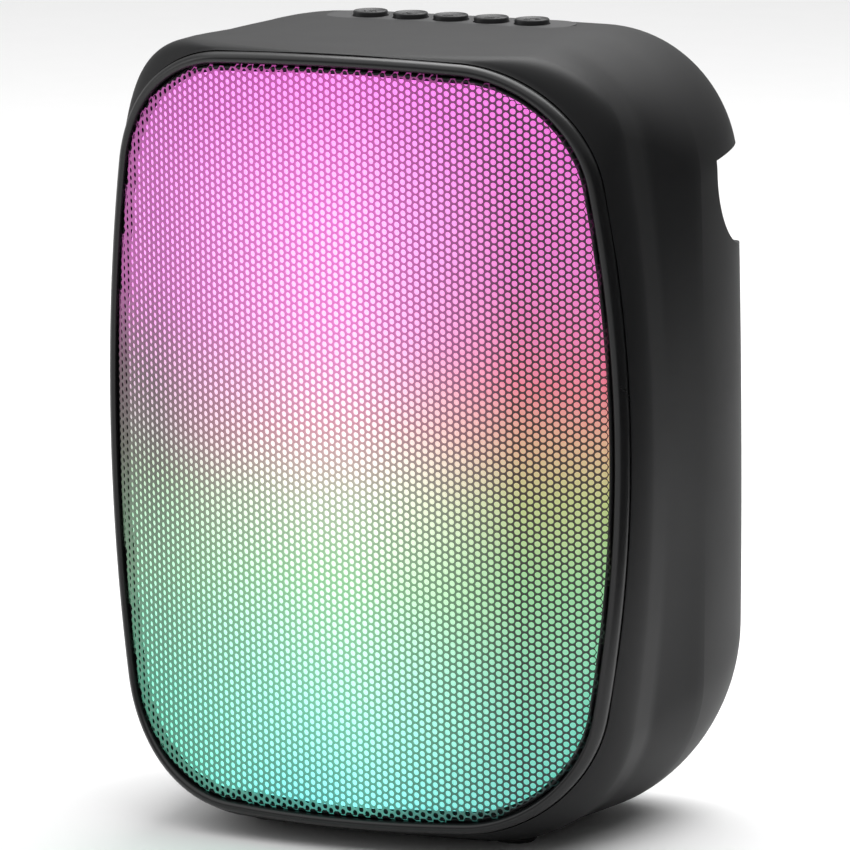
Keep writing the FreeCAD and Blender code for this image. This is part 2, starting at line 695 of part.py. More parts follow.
ring_blank = cut("ring_blank", ring_plate("ring_outside", "-ring_outer_lip"),
                 ring_plate("ring_inside", "ring_inner_lip"))
node("bezel_ring", overlap("bezel_ring", ring_blank, front_side("behind_crest", "-ring_proud", True),
                           front_side("before_ring_back", RIM, False)))

grille_edge = "ring_inner_lip + grille_gap"
grille_blank = overlap("grille_blank", ring_plate("grille_plate", grille_edge),
                       front_side("behind_sheet", "0", True),
                       front_side("before_flange", "grille_flange", False))
grille_hollow = overlap("grille_hollow", ring_plate("grille_hollow_plate", grille_edge + " + grille_sheet"),
                        front_side("behind_mesh", "grille_sheet", True))
node("speaker_grille", cut("speaker_grille", grille_blank, grille_hollow))

# ---------------------------------------------------------------- light
diffuser_edge = "ledge_width - ring_outer_lip + diffuser_gap"
diffuser_sheet = overlap("diffuser_blank", ring_plate("diffuser_plate", diffuser_edge),
                         front_side("behind_diffuser", "diffuser_offset", True),
                         front_side("before_diffuser", "diffuser_offset + diffuser_sheet", False))
diffuser_legs = overlap("diffuser_legs", join("diffuser_leg_rods", *[
    rod("diffuser_leg_%d" % i, "diffuser_post", "apex", "baffle_front", x=x, z=z)
    for i, (x, z) in enumerate(DIFFUSER_POSTS)]),
    front_side("behind_leg", "diffuser_offset + diffuser_sheet / 2", True))
node("light_diffuser", join("light_diffuser", diffuser_sheet, diffuser_legs))


def led_board_outline(sketch):
    edge = "ledge_width - ring_outer_lip + led_board_gap"
    bowed_outline(sketch, *["crest_%s - (%s)" % (part, edge)
                            for part in ("half_width", "half_height", "corner", "side_bow", "top_bow")])
    circle(sketch, "0", "0", "driver_radius + 2")
    for x, z in DIFFUSER_POSTS:
        circle(sketch, x, z.replace("ring_centre + ", ""), "diffuser_post + 0.4")


node("led_board", plate("led_board", led_board_outline, "led_face", "led_board_sheet"))

led_spots = []
for column in range(-3, 4):
    for line in range(-5, 6):
        away = math.hypot(column, line) * number("led_pitch")
        beside_post = (abs(abs(column) * number("led_pitch") - number("post_stand_x")) < 8
                       and abs(abs(line) * number("led_pitch") - number("post_stand_z")) < 10)
        corner = abs(column) == 3 and abs(line) == 5
        if away > number("driver_radius") + 8 and not beside_post and not corner:
            led_spots.append((column, line))
node("led_chips", group("led_chips", [
    middle_block("led_%d" % i, "led_size / 2", "led_size / 2", "led_face - led_height", "led_height",
                 "%d * led_pitch" % column, "ring_centre + %d * led_pitch" % line)
    for i, (column, line) in enumerate(led_spots)]))

# ---------------------------------------------------------------- baffle


def baffle_outline(sketch):
    bowed_outline(sketch, "half_width - wall - baffle_gap", "cabinet_top - wall - baffle_gap",
                  "shoulder_corner - wall", "shoulder_bow", "cabinet_bow")
    circle(sketch, "0", "0", "driver_seat")
    for x, z in BAFFLE_SCREWS:
        circle(sketch, x, z.replace("ring_centre + ", ""), "screw_radius + 0.2")
    for s in SIDES:
        circle(sketch, "led_lead_x", "led_lead_z - ring_centre + %d * 2.4" % s, "1")


baffle_sheet = plate("baffle_sheet_plate", baffle_outline, "baffle_face", "baffle_sheet")
baffle_posts = [rod("baffle_post_%d" % i, "boss_radius", "baffle_back - 1", "boss_face - baffle_back + 1",
                    x=x, z=z)
                for i, (x, z) in enumerate(CABINET_BOSSES)]
baffle_bores = [rod("baffle_bore_%d" % i, "screw_radius + 0.05", "boss_face - screw_bite - 2",
                    "screw_bite + 4", x=x, z=z)
                for i, (x, z) in enumerate(CABINET_BOSSES)]
driver_bores = [rod("driver_bore_%d" % i, "screw_radius + 0.05", "baffle_face - 1", "baffle_sheet + 2", x=x,
                    z=z)
                for i, (x, z) in enumerate(DRIVER_SCREWS)]
node("front_baffle", cut("front_baffle", join("baffle_with_posts", baffle_sheet, *baffle_posts),
                         *(baffle_bores + driver_bores)))
node("baffle_screws", group("baffle_screws", [
    screw("baffle_screw_%d" % i, x, z, "baffle_face - 6", "baffle_sheet + 6")
    for i, (x, z) in enumerate(BAFFLE_SCREWS)]))

# ---------------------------------------------------------------- driver


def ring_outline(inner, outer, holes=()):
    def draw(sketch):
        circle(sketch, "0", "0", outer)
        circle(sketch, "0", "0", inner)
        for x, z in holes:
            circle(sketch, x, z.replace("ring_centre + ", ""), "screw_radius + 0.2")
    return draw


node("driver_gasket", plate("driver_gasket", ring_outline("driver_seat", "driver_radius", DRIVER_SCREWS),
                            "baffle_face - gasket_sheet", "gasket_sheet"))

basket_wall = "driver_seat - 0.6"
basket_turn = turned("basket_turn", [
    ("flange_face", "driver_radius"), ("flange_face", basket_wall + " - 1.5"),
    ("flange_face + driver_flange + 3", basket_wall + " - basket_sheet"),
    ("spider_seat", "spider_radius + 0.2"), ("spider_seat", "spider_radius - 2.6"),
    ("basket_floor", "spider_radius - 2.6"), ("basket_floor", "coil_radius + 6"),
    ("gap_front", "coil_radius + 6"),
    ("gap_front", "spider_radius - 2.6 + basket_sheet"),
    ("spider_seat + basket_sheet", "spider_radius - 2.6 + basket_sheet"),
    ("spider_seat + basket_sheet", "spider_radius + 0.2 + basket_sheet"),
    ("flange_face + driver_flange + 3", basket_wall), ("flange_face + driver_flange", basket_wall),
    ("flange_face + driver_flange", "driver_radius")], z="ring_centre")
terminal_tab = block("terminal_tab", ("spider_radius - 2.2", "basket_floor", "ring_centre - 6"),
                     ("12", "basket_sheet", "12"))
basket_windows = []
for i in range(6):
    gap = block("basket_window_%d" % i, ("34", "flange_face + driver_flange + 6", "-9"),
                ("30", "spider_seat - flange_face - driver_flange - 8", "18"))
    turn = FreeCAD.Rotation(Vector(0, 1, 0), 60 * i + 30)
    ring = doc.addObject("Part::Compound", "basket_window_place_%d" % i)
    ring.Links = [gap]
    ring.Placement = FreeCAD.Placement(Vector(), turn)
    bind(ring, Placement__Base__z="ring_centre")
    basket_windows.append(ring)
basket_holes = [rod("basket_hole_%d" % i, "screw_radius + 0.2", "flange_face - 1", "driver_flange + 2", x=x,
                    z=z)
                for i, (x, z) in enumerate(DRIVER_SCREWS)]
node("driver_basket", cut("driver_basket", join("basket_with_tab", basket_turn, terminal_tab),
                          *(basket_windows + basket_holes)))
node("driver_screws", group("driver_screws", [
    screw("driver_screw_%d" % i, x, z, "flange_face - screw_head_height", "9", head_to_back=False)
    for i, (x, z) in enumerate(DRIVER_SCREWS)]))

node("driver_top_plate", turned("driver_top_plate", [
    ("gap_front", "coil_radius + coil_gap"), ("gap_front", "magnet_radius - 3"),
    ("gap_back", "magnet_radius - 3"), ("gap_back", "coil_radius + coil_gap")], z="ring_centre"))
node("driver_magnet", turned("driver_magnet", [
    ("gap_back", "coil_radius + 3.5"), ("gap_back", "magnet_radius"),
    ("yoke_face", "magnet_radius"), ("yoke_face", "coil_radius + 3.5")], z="ring_centre"))
node("driver_yoke", turned("driver_yoke", [
    ("gap_front", "0"), ("gap_front", "coil_radius - coil_wall - coil_gap"),
    ("yoke_face", "coil_radius - coil_wall - coil_gap"), ("yoke_face", "magnet_radius - 3"),
    ("yoke_face + plate_sheet - 1", "magnet_radius - 3"), ("yoke_face + plate_sheet", "magnet_radius - 4"),
    ("yoke_face + plate_sheet", "0")], z="ring_centre"))

neck = "(flange_face + cone_drop)"
node("driver_cone", turned("driver_cone", [
    ("flange_face + 1", "cone_radius"), (neck, "coil_radius"),
    ("%s + cone_sheet * 1.6" % neck, "coil_radius"),
    ("flange_face + 1 + cone_sheet", "cone_radius + 0.6"), ("flange_face + 1", "cone_radius + 3.4"),
    ("flange_face + 0.4", "cone_radius + 3.4"), ("flange_face + 0.4", "cone_radius")], z="ring_centre"))
node("dust_cap", turned("dust_cap", [
    ("%s - 5.4" % neck, "0"), ("%s - 4.6" % neck, "6"), ("%s - 1.6" % neck, "11.4"),
    ("%s - 1" % neck, "coil_radius - 0.1"),
    ("%s - 0.2" % neck, "coil_radius - 0.1"), ("%s - 0.9" % neck, "11"), ("%s - 3.8" % neck, "5.6"),
    ("%s - 4.6" % neck, "0")], z="ring_centre"))
node("voice_coil", turned("voice_coil", [
    (neck, "coil_radius - coil_wall"), (neck, "coil_radius"),
    ("gap_back + cone_travel + 0.6", "coil_radius"),
    ("gap_back + cone_travel + 0.6", "coil_radius - coil_wall")], z="ring_centre"))

roll_outer, roll_inner = "driver_seat - 2.6", "cone_radius + 1.6"
roll_middle = "(driver_seat + cone_radius - 1) / 2"
node("driver_surround", turned("driver_surround", [
    ("flange_face", "driver_seat - 1.1"), ("flange_face - 0.6", "driver_seat - 1.1"),
    ("flange_face - roll_height * 0.7", roll_outer), ("flange_face - roll_height", roll_middle + " + 1"),
    ("flange_face - roll_height", roll_middle + " - 1"),
    ("flange_face - roll_height * 0.7", roll_inner + " - 0.6"),
    ("flange_face - 0.2", "cone_radius + 0.2"), ("flange_face + 0.4", "cone_radius + 0.2"),
    ("flange_face + 0.4", roll_inner), ("flange_face - roll_height * 0.6", roll_inner + " + 0.3"),
    ("flange_face - roll_height + 0.7", roll_middle + " - 0.6"),
    ("flange_face - roll_height + 0.7", roll_middle + " + 0.6"),
    ("flange_face - roll_height * 0.6", roll_outer + " - 0.7"), ("flange_face", roll_outer)],
    z="ring_centre"))
waves = [("spider_seat - 0.5", "spider_radius"), ("spider_seat - 0.5", "spider_radius - 2.8")]
back_waves = [("spider_seat", "spider_radius - 2.8"), ("spider_seat", "spider_radius")]
WAVE_STEPS = ((5, -1.6), (7.4, -0.4), (9.8, -1.6), (12.2, -0.4), (14.6, -1.6))
front_side_points = [("spider_seat + %.1f" % (rise - 0.4), "spider_radius - %.1f" % inward) for inward,
                     rise in WAVE_STEPS]
back_side_points = [("spider_seat + %.1f" % (rise + 0.4), "spider_radius - %.1f" % inward) for inward,
                    rise in WAVE_STEPS]
hub = [("spider_seat - 0.9", "coil_radius"), ("spider_seat - 0.1", "coil_radius")]
node("driver_spider",
     turned("driver_spider", waves + front_side_points + hub + back_side_points[::-1] + back_waves,
                             z="ring_centre"))
node("driver_terminals", group("driver_terminals", [
    block("driver_tag_%d" % i, ("magnet_radius + 1", "gap_front", "ring_centre + %d * 3.4 - 1" % s),
          ("3", "3.6", "2"))
    for i, s in enumerate(SIDES)]))

# ---------------------------------------------------------------- top buttons


def panel_with_holes(sketch):
    level_outline("0")(sketch)
    for x in BUTTON_X.values():
        circle(sketch, x, "0", "button_radius + button_gap")


node("button_panel", shelf("button_panel", panel_with_holes, "panel_floor", "panel_sheet", y="button_line"))
for name in BUTTONS:
    cap_top = "top_face + button_proud"
    node("button_" + name, turned("button_" + name, [
        ("panel_floor - 3.6", "0"), ("panel_floor - 3.6", "button_stem"),
        ("panel_floor + button_travel + 0.2", "button_stem"),
        ("panel_floor + button_travel + 0.2", "button_radius"), (cap_top + " - 0.5", "button_radius"),
        (cap_top, "button_radius - 0.5"), (cap_top, "0")], "Z", BUTTON_X[name], "button_line"))
board_bottom = switch_board_top + " - board_sheet"
node("button_board", shelf("button_board", lambda s: rectangle(s, "panel_half_length + 1", "7"),
                           board_bottom, "board_sheet", y="button_line"))
node("tact_switches", group("tact_switches", [
    join("tact_" + name,
         block("tact_case_" + name, (BUTTON_X[name] + " - tact_half", "button_line - tact_half",
                                     switch_board_top),
               ("2 * tact_half", "2 * tact_half", "tact_height - button_travel - 0.4")),
         rod("tact_post_" + name, "1.2", switch_board_top, "tact_height - button_travel - 0.1", "Z",
             x=BUTTON_X[name], y="button_line"))
    for name in BUTTONS]))
node("board_screws", group("board_screws", [
    turned("board_screw_%d" % i, [("board_top - 5", "0"), ("board_top - 5", "1"), ("board_top", "1"),
                                  ("board_top", "2"),
                                  ("board_top + 1.2", "2"), ("board_top + 1.6", "1.2"),
                                  ("board_top + 1.6", "0")],
           "Z", "%d * 46" % s, "back - wall - " + back)
    for i, (s, back) in enumerate(BOARD_SCREWS)]))

# ---------------------------------------------------------------- rear connection panel


def rear_panel_outline(sketch):
    bowed_outline(sketch, "rear_panel_half_length", "rear_panel_half_width", "4", "cabinet_bow",
                  "cabinet_bow")
    for name, (x, half_x, half_z) in SOCKETS.items():
        if name == "aux":
            circle(sketch, x, "0", half_x)
        else:
            rectangle(sketch, half_x, half_z, x)


node("rear_panel", plate("rear_panel", rear_panel_outline, "socket_face", "rear_panel_sheet",
                         z="socket_row"))

BOARD_Y = "(back - wall - 0.6 - board_length)"


def board_outline(sketch):
    rectangle(sketch, "board_half_width", "board_length / 2", "0", BOARD_Y + " + board_length / 2")
    for s, back in BOARD_SCREWS:
        circle(sketch, "%d * 46" % s, "back - wall - " + back, "1.1")


node("main_board", shelf("main_board", board_outline, "board_top - board_sheet", "board_sheet"))

SOCKET_DEPTH = {"switch": "6", "aux": "12", "usb_a": "13", "usb_c": "7.5", "card": "14"}
BEHIND = "(back - wall - 0.4)"


def stand(name, half_x, top):
    """The block behind the panel that carries a socket on the board."""
    depth = SOCKET_DEPTH[name]
    return middle_block("stand_" + name, half_x, "(%s - board_top) / 2" % top, BEHIND + " - " + depth, depth,
                        SOCKETS[name][0], "(%s + board_top) / 2" % top)


def nose(name, margin="socket_gap"):
    """The mouth of a socket, which reaches into its hole in the panel."""
    x, half_x, half_z = SOCKETS[name]
    return middle_block("nose_" + name, "%s - %s" % (half_x, margin), "%s - %s" % (half_z, margin),
                        BEHIND + " - 1", "back - 0.4 - %s + 1" % BEHIND, x, "socket_row")


def slot_cut(name, half_x, half_z, depth):
    return middle_block("slot_" + name, half_x, half_z, "back - 0.4 - " + depth, depth + " + 2",
                        SOCKETS[name][0], "socket_row")


usb_c_body = join("usb_c_body", stand("usb_c", "4.5", "(socket_row + 1.7)"), nose("usb_c"))
usb_c_tongue = middle_block("usb_c_tongue", "3.3", "0.35", "back - 6.5", "5.2", SOCKETS["usb_c"][0],
                            "socket_row")
node("usb_c_inlet", join("usb_c_inlet", cut("usb_c_hollow", usb_c_body,
                                            slot_cut("usb_c", "4.15", "1.3", "6")),
                         usb_c_tongue))
usb_a_body = join("usb_a_body", stand("usb_a", "6.6", "(socket_row + 2.9)"), nose("usb_a"))
usb_a_tongue = middle_block("usb_a_tongue", "5.4", "0.9", "back - 12", "10.4", SOCKETS["usb_a"][0],
                            "socket_row + 1")
node("usb_a_socket", join("usb_a_socket", cut("usb_a_hollow", usb_a_body,
                                              slot_cut("usb_a", "6.1", "2.4", "11")),
                          usb_a_tongue))
aux_nose = rod("aux_nose", "2.8", BEHIND + " - 1", "back - 0.4 - %s + 1" % BEHIND, x=SOCKETS["aux"][0],
               z="socket_row")
aux_bore = rod("aux_bore", "1.8", "back - 11", "12", x=SOCKETS["aux"][0], z="socket_row")
node("aux_socket", cut("aux_socket", join("aux_body", stand("aux", "3.2", "(socket_row + 3)"), aux_nose),
                       aux_bore))
card_body = join("card_body", stand("card", "7", "(socket_row + 1.2)"), nose("card", "0.25"))
node("card_slot", cut("card_slot", card_body, slot_cut("card", "5.6", "0.45", "13")))

SWITCH_X = SOCKETS["switch"][0]
switch_case = stand("switch", "5.5", "(socket_row + 2.7)")
switch_channel = middle_block("switch_channel", "3.6", "1.5", BEHIND + " - 3", "6", SWITCH_X, "socket_row")
node("power_switch_case", cut("power_switch_case", switch_case, switch_channel))
slider_x = SWITCH_X + " - switch_travel / 2"
node("power_switch_slider", join(
    "power_switch_slider",
    middle_block("slider_foot", "2", "1.4", BEHIND + " - 2.8", "2.4", slider_x, "socket_row"),
    middle_block("slider_knob", "1.9", "1.4", BEHIND + " - 1", "back + 1 - %s" % BEHIND, slider_x,
                 "socket_row")))

node("amplifier_chip", block("amplifier_chip", ("-16", BOARD_Y + " + 8", "board_top"), ("9", "9", "1.4")))
node("radio_module", block("radio_module", ("8", BOARD_Y + " + 5", "board_top"), ("17", "13", "2.2")))
node("filter_capacitors", group("filter_capacitors", [
    rod("capacitor_%d" % i, "3.2", "board_top", "11", "Z", x="%d * 30" % s, y=BOARD_Y + " + 10")
    for i, s in enumerate(SIDES)]))

# ---------------------------------------------------------------- battery
cell_z = "(tray_floor + tray_wall + cell_radius)"
cell_y = "(apex + cell_row)"
spread = "(cell_radius + 0.4)"
node("battery_cells", group("battery_cells", [
    rod("battery_cell_%d" % i, "cell_radius", "-cell_length / 2", "cell_length", "X",
        y="%s + %d * %s" % (cell_y, s, spread), z=cell_z) for i, s in enumerate(SIDES)]))
tray_half_x = "(cell_length / 2 + 0.6 + tray_wall)"
tray_half_y = "(2 * cell_radius + 0.8 + tray_wall)"
tray_blank = block("tray_blank", ("-" + tray_half_x, "%s - %s" % (cell_y, tray_half_y), "tray_floor"),
                   ("2 * " + tray_half_x, "2 * " + tray_half_y, "tray_wall + cell_radius"))
tray_hollow = block("tray_hollow", ("-%s + tray_wall" % tray_half_x,
                                    "%s - %s + tray_wall" % (cell_y, tray_half_y),
                                    "tray_floor + tray_wall"),
                    ("2 * (%s - tray_wall)" % tray_half_x, "2 * (%s - tray_wall)" % tray_half_y, "30"))
node("battery_tray", cut("battery_tray", tray_blank, tray_hollow))

# ---------------------------------------------------------------- leads


def lead(name, corners, radius="0.8", bend=4.0):
    """A round lead through the given corners, with a tangent arc at every bend."""
    spots = [Vector(*[number(part) for part in corner]) for corner in corners]
    edges = []
    start = spots[0]
    for before, spot, after in zip(spots, spots[1:], spots[2:]):
        arriving = (spot - before).normalize()
        leaving = (after - spot).normalize()
        half_angle = arriving.getAngle(leaving) / 2
        setback = bend * math.tan(half_angle)
        entry, leave = spot - arriving * setback, spot + leaving * setback
        inward = (leaving - arriving).normalize()
        middle = spot + inward * (bend / math.cos(half_angle) - bend)
        edges.append(Part.LineSegment(start, entry).toShape())
        edges.append(Part.Arc(entry, middle, leave).toShape())
        start = leave
    edges.append(Part.LineSegment(start, spots[-1]).toShape())
    path = Part.Wire(edges)
    ring = Part.Wire([Part.makeCircle(number(radius), spots[0], spots[1] - spots[0])])
    thing = doc.addObject("Part::Feature", name)
    thing.Shape = path.makePipeShell([ring], True, False)
    return thing


board_front = BOARD_Y + " + 3"
node("driver_leads", group("driver_leads", [
    lead("driver_lead_%d" % i, [
        ("magnet_radius + 2.5", "gap_front + 3.6", "ring_centre + %d * 3.4" % s),
        ("magnet_radius + 2.5", "gap_front + 12 + %d * 2" % s, "ring_centre + %d * 3.4" % s),
        ("magnet_radius + 2.5", "gap_front + 12 + %d * 2" % s, "board_top + 14 + %d * 2" % s),
        ("%s + 38" % ("4" if s > 0 else "-1"), board_front + " + 2", "board_top + 14 + %d * 2" % s),
        ("%s + 38" % ("4" if s > 0 else "-1"), board_front + " + 2", "board_top")], bend=2.5)
    for i, s in enumerate(SIDES)]))

node("button_leads", group("button_leads", [
    rod("button_lead_%d" % i, "0.6", "board_top", "%s - board_top" % board_bottom, "Z",
        x="-40 + %d * 2" % i, y="button_line - 5") for i in range(3)]))
node("led_leads", group("led_leads", [
    lead("led_lead_%d" % i, [
        ("led_lead_x", "baffle_face", "led_lead_z + %d * 2.4" % s),
        ("led_lead_x", "baffle_back + 7 + %d * 2" % s, "led_lead_z + %d * 2.4" % s),
        ("led_lead_x", "baffle_back + 7 + %d * 2" % s, "board_top + 8 + %d * 1.6" % s),
        ("led_lead_x", board_front + " + 8 + %d * 2" % s, "board_top + 8 + %d * 1.6" % s),
        ("led_lead_x", board_front + " + 8 + %d * 2" % s, "board_top")], "0.6", 2.5) for i,
        s in enumerate(SIDES)]))

# ---------------------------------------------------------------- checks and files
doc.recompute()
for thing in doc.Objects:
    if {"Invalid", "Error"} & set(thing.State):
        raise RuntimeError("%s did not compute: %s" % (thing.Name, thing.State))
os.makedirs("parts", exist_ok=True)
for name, thing in nodes.items():
    shape = thing.Shape
    if shape.isNull() or not shape.isValid() or not shape.Solids:
        raise RuntimeError("%s has no valid solid" % name)
    shape.exportStep(os.path.join("parts", name + ".step"))
print("wrote %d sub-parts" % len(nodes))
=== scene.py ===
import json
import math

import bmesh
import bpy
import numpy as np
from mathutils import Matrix, Vector


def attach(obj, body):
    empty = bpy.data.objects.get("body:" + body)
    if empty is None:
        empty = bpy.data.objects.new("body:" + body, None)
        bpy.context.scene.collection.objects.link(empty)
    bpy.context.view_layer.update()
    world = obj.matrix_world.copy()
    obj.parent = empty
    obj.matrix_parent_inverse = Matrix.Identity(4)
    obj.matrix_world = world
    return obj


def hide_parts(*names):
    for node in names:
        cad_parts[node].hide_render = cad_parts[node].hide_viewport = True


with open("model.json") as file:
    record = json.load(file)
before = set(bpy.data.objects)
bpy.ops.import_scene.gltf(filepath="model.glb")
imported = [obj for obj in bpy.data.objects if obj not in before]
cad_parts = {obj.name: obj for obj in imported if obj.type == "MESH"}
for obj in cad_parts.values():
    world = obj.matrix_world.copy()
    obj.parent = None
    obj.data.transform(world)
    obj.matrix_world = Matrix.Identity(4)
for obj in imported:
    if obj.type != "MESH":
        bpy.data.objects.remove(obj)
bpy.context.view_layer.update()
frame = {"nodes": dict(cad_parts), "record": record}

# ---------------------------------------------------------------- cabinet skin
# The cabinet is injection-moulded charcoal ABS with a fine spark texture. A front shell, a rear cover and a
# top cover meet in hairline seams, so the outside reads as one skin; it rounds off to the rear and a finger
# scoop crosses the back from side to side.
MM = 0.001
RING_CENTRE = 133.0
APEX = -58.5
CREST = np.array([91.2, 123.9, 45.0, 530.0, 800.0])     # half width, half height, corner, side bow, top bow
CROWN_REACH, CROWN, CHEEK = 40.0, 320.0, 147.0
CROWN_LEAN = math.asin(CROWN_REACH / CROWN)
CHEEK_CENTRE = CROWN_REACH * (1 - CHEEK / CROWN)


def dome(x):
    """Depth of the bent front behind its foremost line: a circular arc of the crown's radius out to the
    crown's reach from the middle, then a tangent arc of the cheek's radius."""
    centre_y = CROWN - (CROWN - CHEEK) * math.cos(CROWN_LEAN)
    x = np.abs(x)
    near = CROWN - np.sqrt(np.maximum(CROWN**2 - x**2, 0))
    far = centre_y - np.sqrt(np.maximum(CHEEK**2 - (x - CHEEK_CENTRE) ** 2, 0))
    return np.where(x < CROWN_REACH, near, far)


def corner_of(size):
    """Where a corner arc sits in an outline of eight tangent arcs: its centre is as far from the side arc's
    centre as side bow less corner, and from the top arc's centre as top bow less corner. Also the two
    turning angles at which it meets the side arc and the top arc."""
    a, b, r, side, top = size
    left, low = a - side, b - top
    span = np.hypot(left, low)
    along = ((side - r) ** 2 - (top - r) ** 2 + span**2) / (2 * span)
    off = np.sqrt((side - r) ** 2 - along**2)
    cx = left - left / span * along - low / span * off
    cz = low / span * along - left / span * off
    return cx, cz, np.arctan2(cz, cx - left), np.arctan2(cz - low, cx)


def trace(size, turn):
    """The point of a right-hand half outline whose outward normal leans by the angle turn: the centre of the
    arc that holds that angle plus its radius along the normal."""
    a, b, r, side, top = size
    cx, cz, low_turn, high_turn = corner_of(size)
    away, sign = np.abs(turn), np.sign(turn)
    on_side, on_top = away <= low_turn, away >= high_turn
    corner_x, corner_z = cx + r * np.cos(turn), sign * cz + r * np.sin(turn)
    top_x, top_z = top * np.cos(turn), sign * (b - top) + top * np.sin(turn)
    x = np.where(on_side, a - side + side * np.cos(turn), np.where(on_top, top_x, corner_x))
    z = np.where(on_side, side * np.sin(turn), np.where(on_top, top_z, corner_z))
    return x, z


def turn_at(size, z):
    """The normal's lean where a half outline passes the height z, on its side arc or a corner arc."""
    a, b, r, side, top = size
    cx, cz, low_turn, high_turn = corner_of(size)
    on_side = np.abs(z) <= side * np.sin(low_turn)
    corner_lean = np.arcsin(np.clip((np.abs(z) - cz) / r, -1, 1))
    return np.where(on_side, np.arcsin(np.clip(z / side, -1, 1)), np.sign(z) * corner_lean)


def blend_rows(*stops):
    """Straight runs side by side: each goes from its start to its end in the given number of even steps."""
    rows = [start + (end - start) * np.linspace(0, 1, n, endpoint=False) for start, end, n in stops]
    return np.hstack(rows)


def make_mesh(name, points, faces, smooth=40, merge=1e-7):
    """A mesh from an array of points in millimetres and arrays of faces; points that coincide are merged,
    faces turned outwards, and edges sharper than the smooth angle stay sharp."""
    points = np.asarray(points, float).reshape(-1, 3) * MM
    keys, index = np.unique(np.round(points / merge).astype(np.int64), axis=0, return_inverse=True)
    index = index.ravel()
    merged = np.zeros((len(keys), 3))
    merged[index] = points
    mesh = bpy.data.meshes.new(name)
    polygons = []
    for block in faces:
        block = index[np.asarray(block)]
        step = np.roll(block, -1, axis=1)
        whole = (block != step).all(axis=1)
        polygons += block[whole].tolist()
        for face in block[~whole].tolist():
            corners = list(dict.fromkeys(face))
            if len(corners) > 2:
                polygons.append(corners)
    mesh.from_pydata(merged.tolist(), [], polygons)
    made = bpy.data.objects.new(name, mesh)
    bpy.context.scene.collection.objects.link(made)
    shape = bmesh.new()
    shape.from_mesh(mesh)
    bmesh.ops.recalc_face_normals(shape, faces=shape.faces)
    shape.to_mesh(mesh)
    shape.free()
    mesh.shade_smooth()
    if smooth:
        mesh.set_sharp_from_angle(angle=math.radians(smooth))
    return made


def sheet_faces(rows, columns, first=0, closed=False):
    """The quads of a grid of points numbered row by row, the last column joined to the first if closed."""
    down = np.arange(rows - 1)[:, None]
    across = np.arange(columns if closed else columns - 1)[None, :]
    following = (across + 1) % columns
    here, there = down * columns, (down + 1) * columns
    quads = np.stack([here + across, here + following, there + following, there + across], axis=-1)
    return quads.reshape(-1, 4) + first


def grained(name, colour, roughness, grain=0.35, depth=0.03, drift=0.12, metallic=0.0, gleam=0.5):
    """A procedural finish: fine noise as grain in the surface, slow noise that drifts colour and gloss."""
    material = bpy.data.materials.new(name)
    material.use_nodes = True
    tree = material.node_tree
    shader = tree.nodes["Principled BSDF"]
    place = tree.nodes.new("ShaderNodeTexCoord")
    fine = tree.nodes.new("ShaderNodeTexNoise")
    fine.inputs["Scale"].default_value = 1 / (grain * MM)
    fine.inputs["Detail"].default_value = 3.0
    slow = tree.nodes.new("ShaderNodeTexNoise")
    slow.inputs["Scale"].default_value = 40.0
    slow.inputs["Detail"].default_value = 4.0
    shade = tree.nodes.new("ShaderNodeMix")
    shade.data_type = "RGBA"
    shade.inputs["A"].default_value = [c * (1 - drift) for c in colour] + [1]
    shade.inputs["B"].default_value = [min(1, c * (1 + drift)) for c in colour] + [1]
    gloss = tree.nodes.new("ShaderNodeMapRange")
    gloss.inputs["To Min"].default_value = roughness * (1 - drift / 2)
    gloss.inputs["To Max"].default_value = min(1, roughness * (1 + drift / 2))
    bump = tree.nodes.new("ShaderNodeBump")
    bump.inputs["Strength"].default_value = 0.5
    bump.inputs["Distance"].default_value = depth * MM
    link = tree.links.new
    for noise in (fine, slow):
        link(place.outputs["Object"], noise.inputs["Vector"])
    link(slow.outputs["Fac"], shade.inputs["Factor"])
    link(slow.outputs["Fac"], gloss.inputs["Value"])
    link(fine.outputs["Fac"], bump.inputs["Height"])
    link(shade.outputs["Result"], shader.inputs["Base Color"])
    link(gloss.outputs["Result"], shader.inputs["Roughness"])
    link(bump.outputs["Normal"], shader.inputs["Normal"])
    shader.inputs["Metallic"].default_value = metallic
    shader.inputs["Specular IOR Level"].default_value = gleam
    return material


def dress(thing, material):
    """Gives a piece one material and hands the piece back."""
    thing.data.materials.clear()
    thing.data.materials.append(material)
    return thing


def upright(points):
    """Moves points given as x, depth behind the foremost line and height above the ring's centre so that the
    origin is at the middle of the base."""
    return np.stack([points[..., 0], points[..., 1] + APEX, points[..., 2] + RING_CENTRE], axis=-1)


HALF_WIDTH, TOP, BOTTOM = 95.2, 126.8, 131.0
DEPTH, ROUND_START, SHOULDER, FLARE_END = 118.5, 73.5, 30.0, 46.0
ROUND_SIDE, ROUND_TOP, ROUND_BOTTOM = 8.0, 6.0, 21.5
UPPER_CORNER, UPPER_REAR_CORNER, LOWER_CORNER, LOWER_REAR_CORNER = 32.0, 47.0, 46.0, 48.5
SHOULDER_BOW, REAR_BOW = 650.0, 4000.0
MOUTH_LIP, EDGE_SETBACK = 2.1, 2.5
SCOOP_WALL, SCOOP_FLOOR, SCOOP_RADIUS = 89.0, 54.0, 26.0
LIP_INNER, LIP_SLOPE = 84.6, 3.4 / 41.5


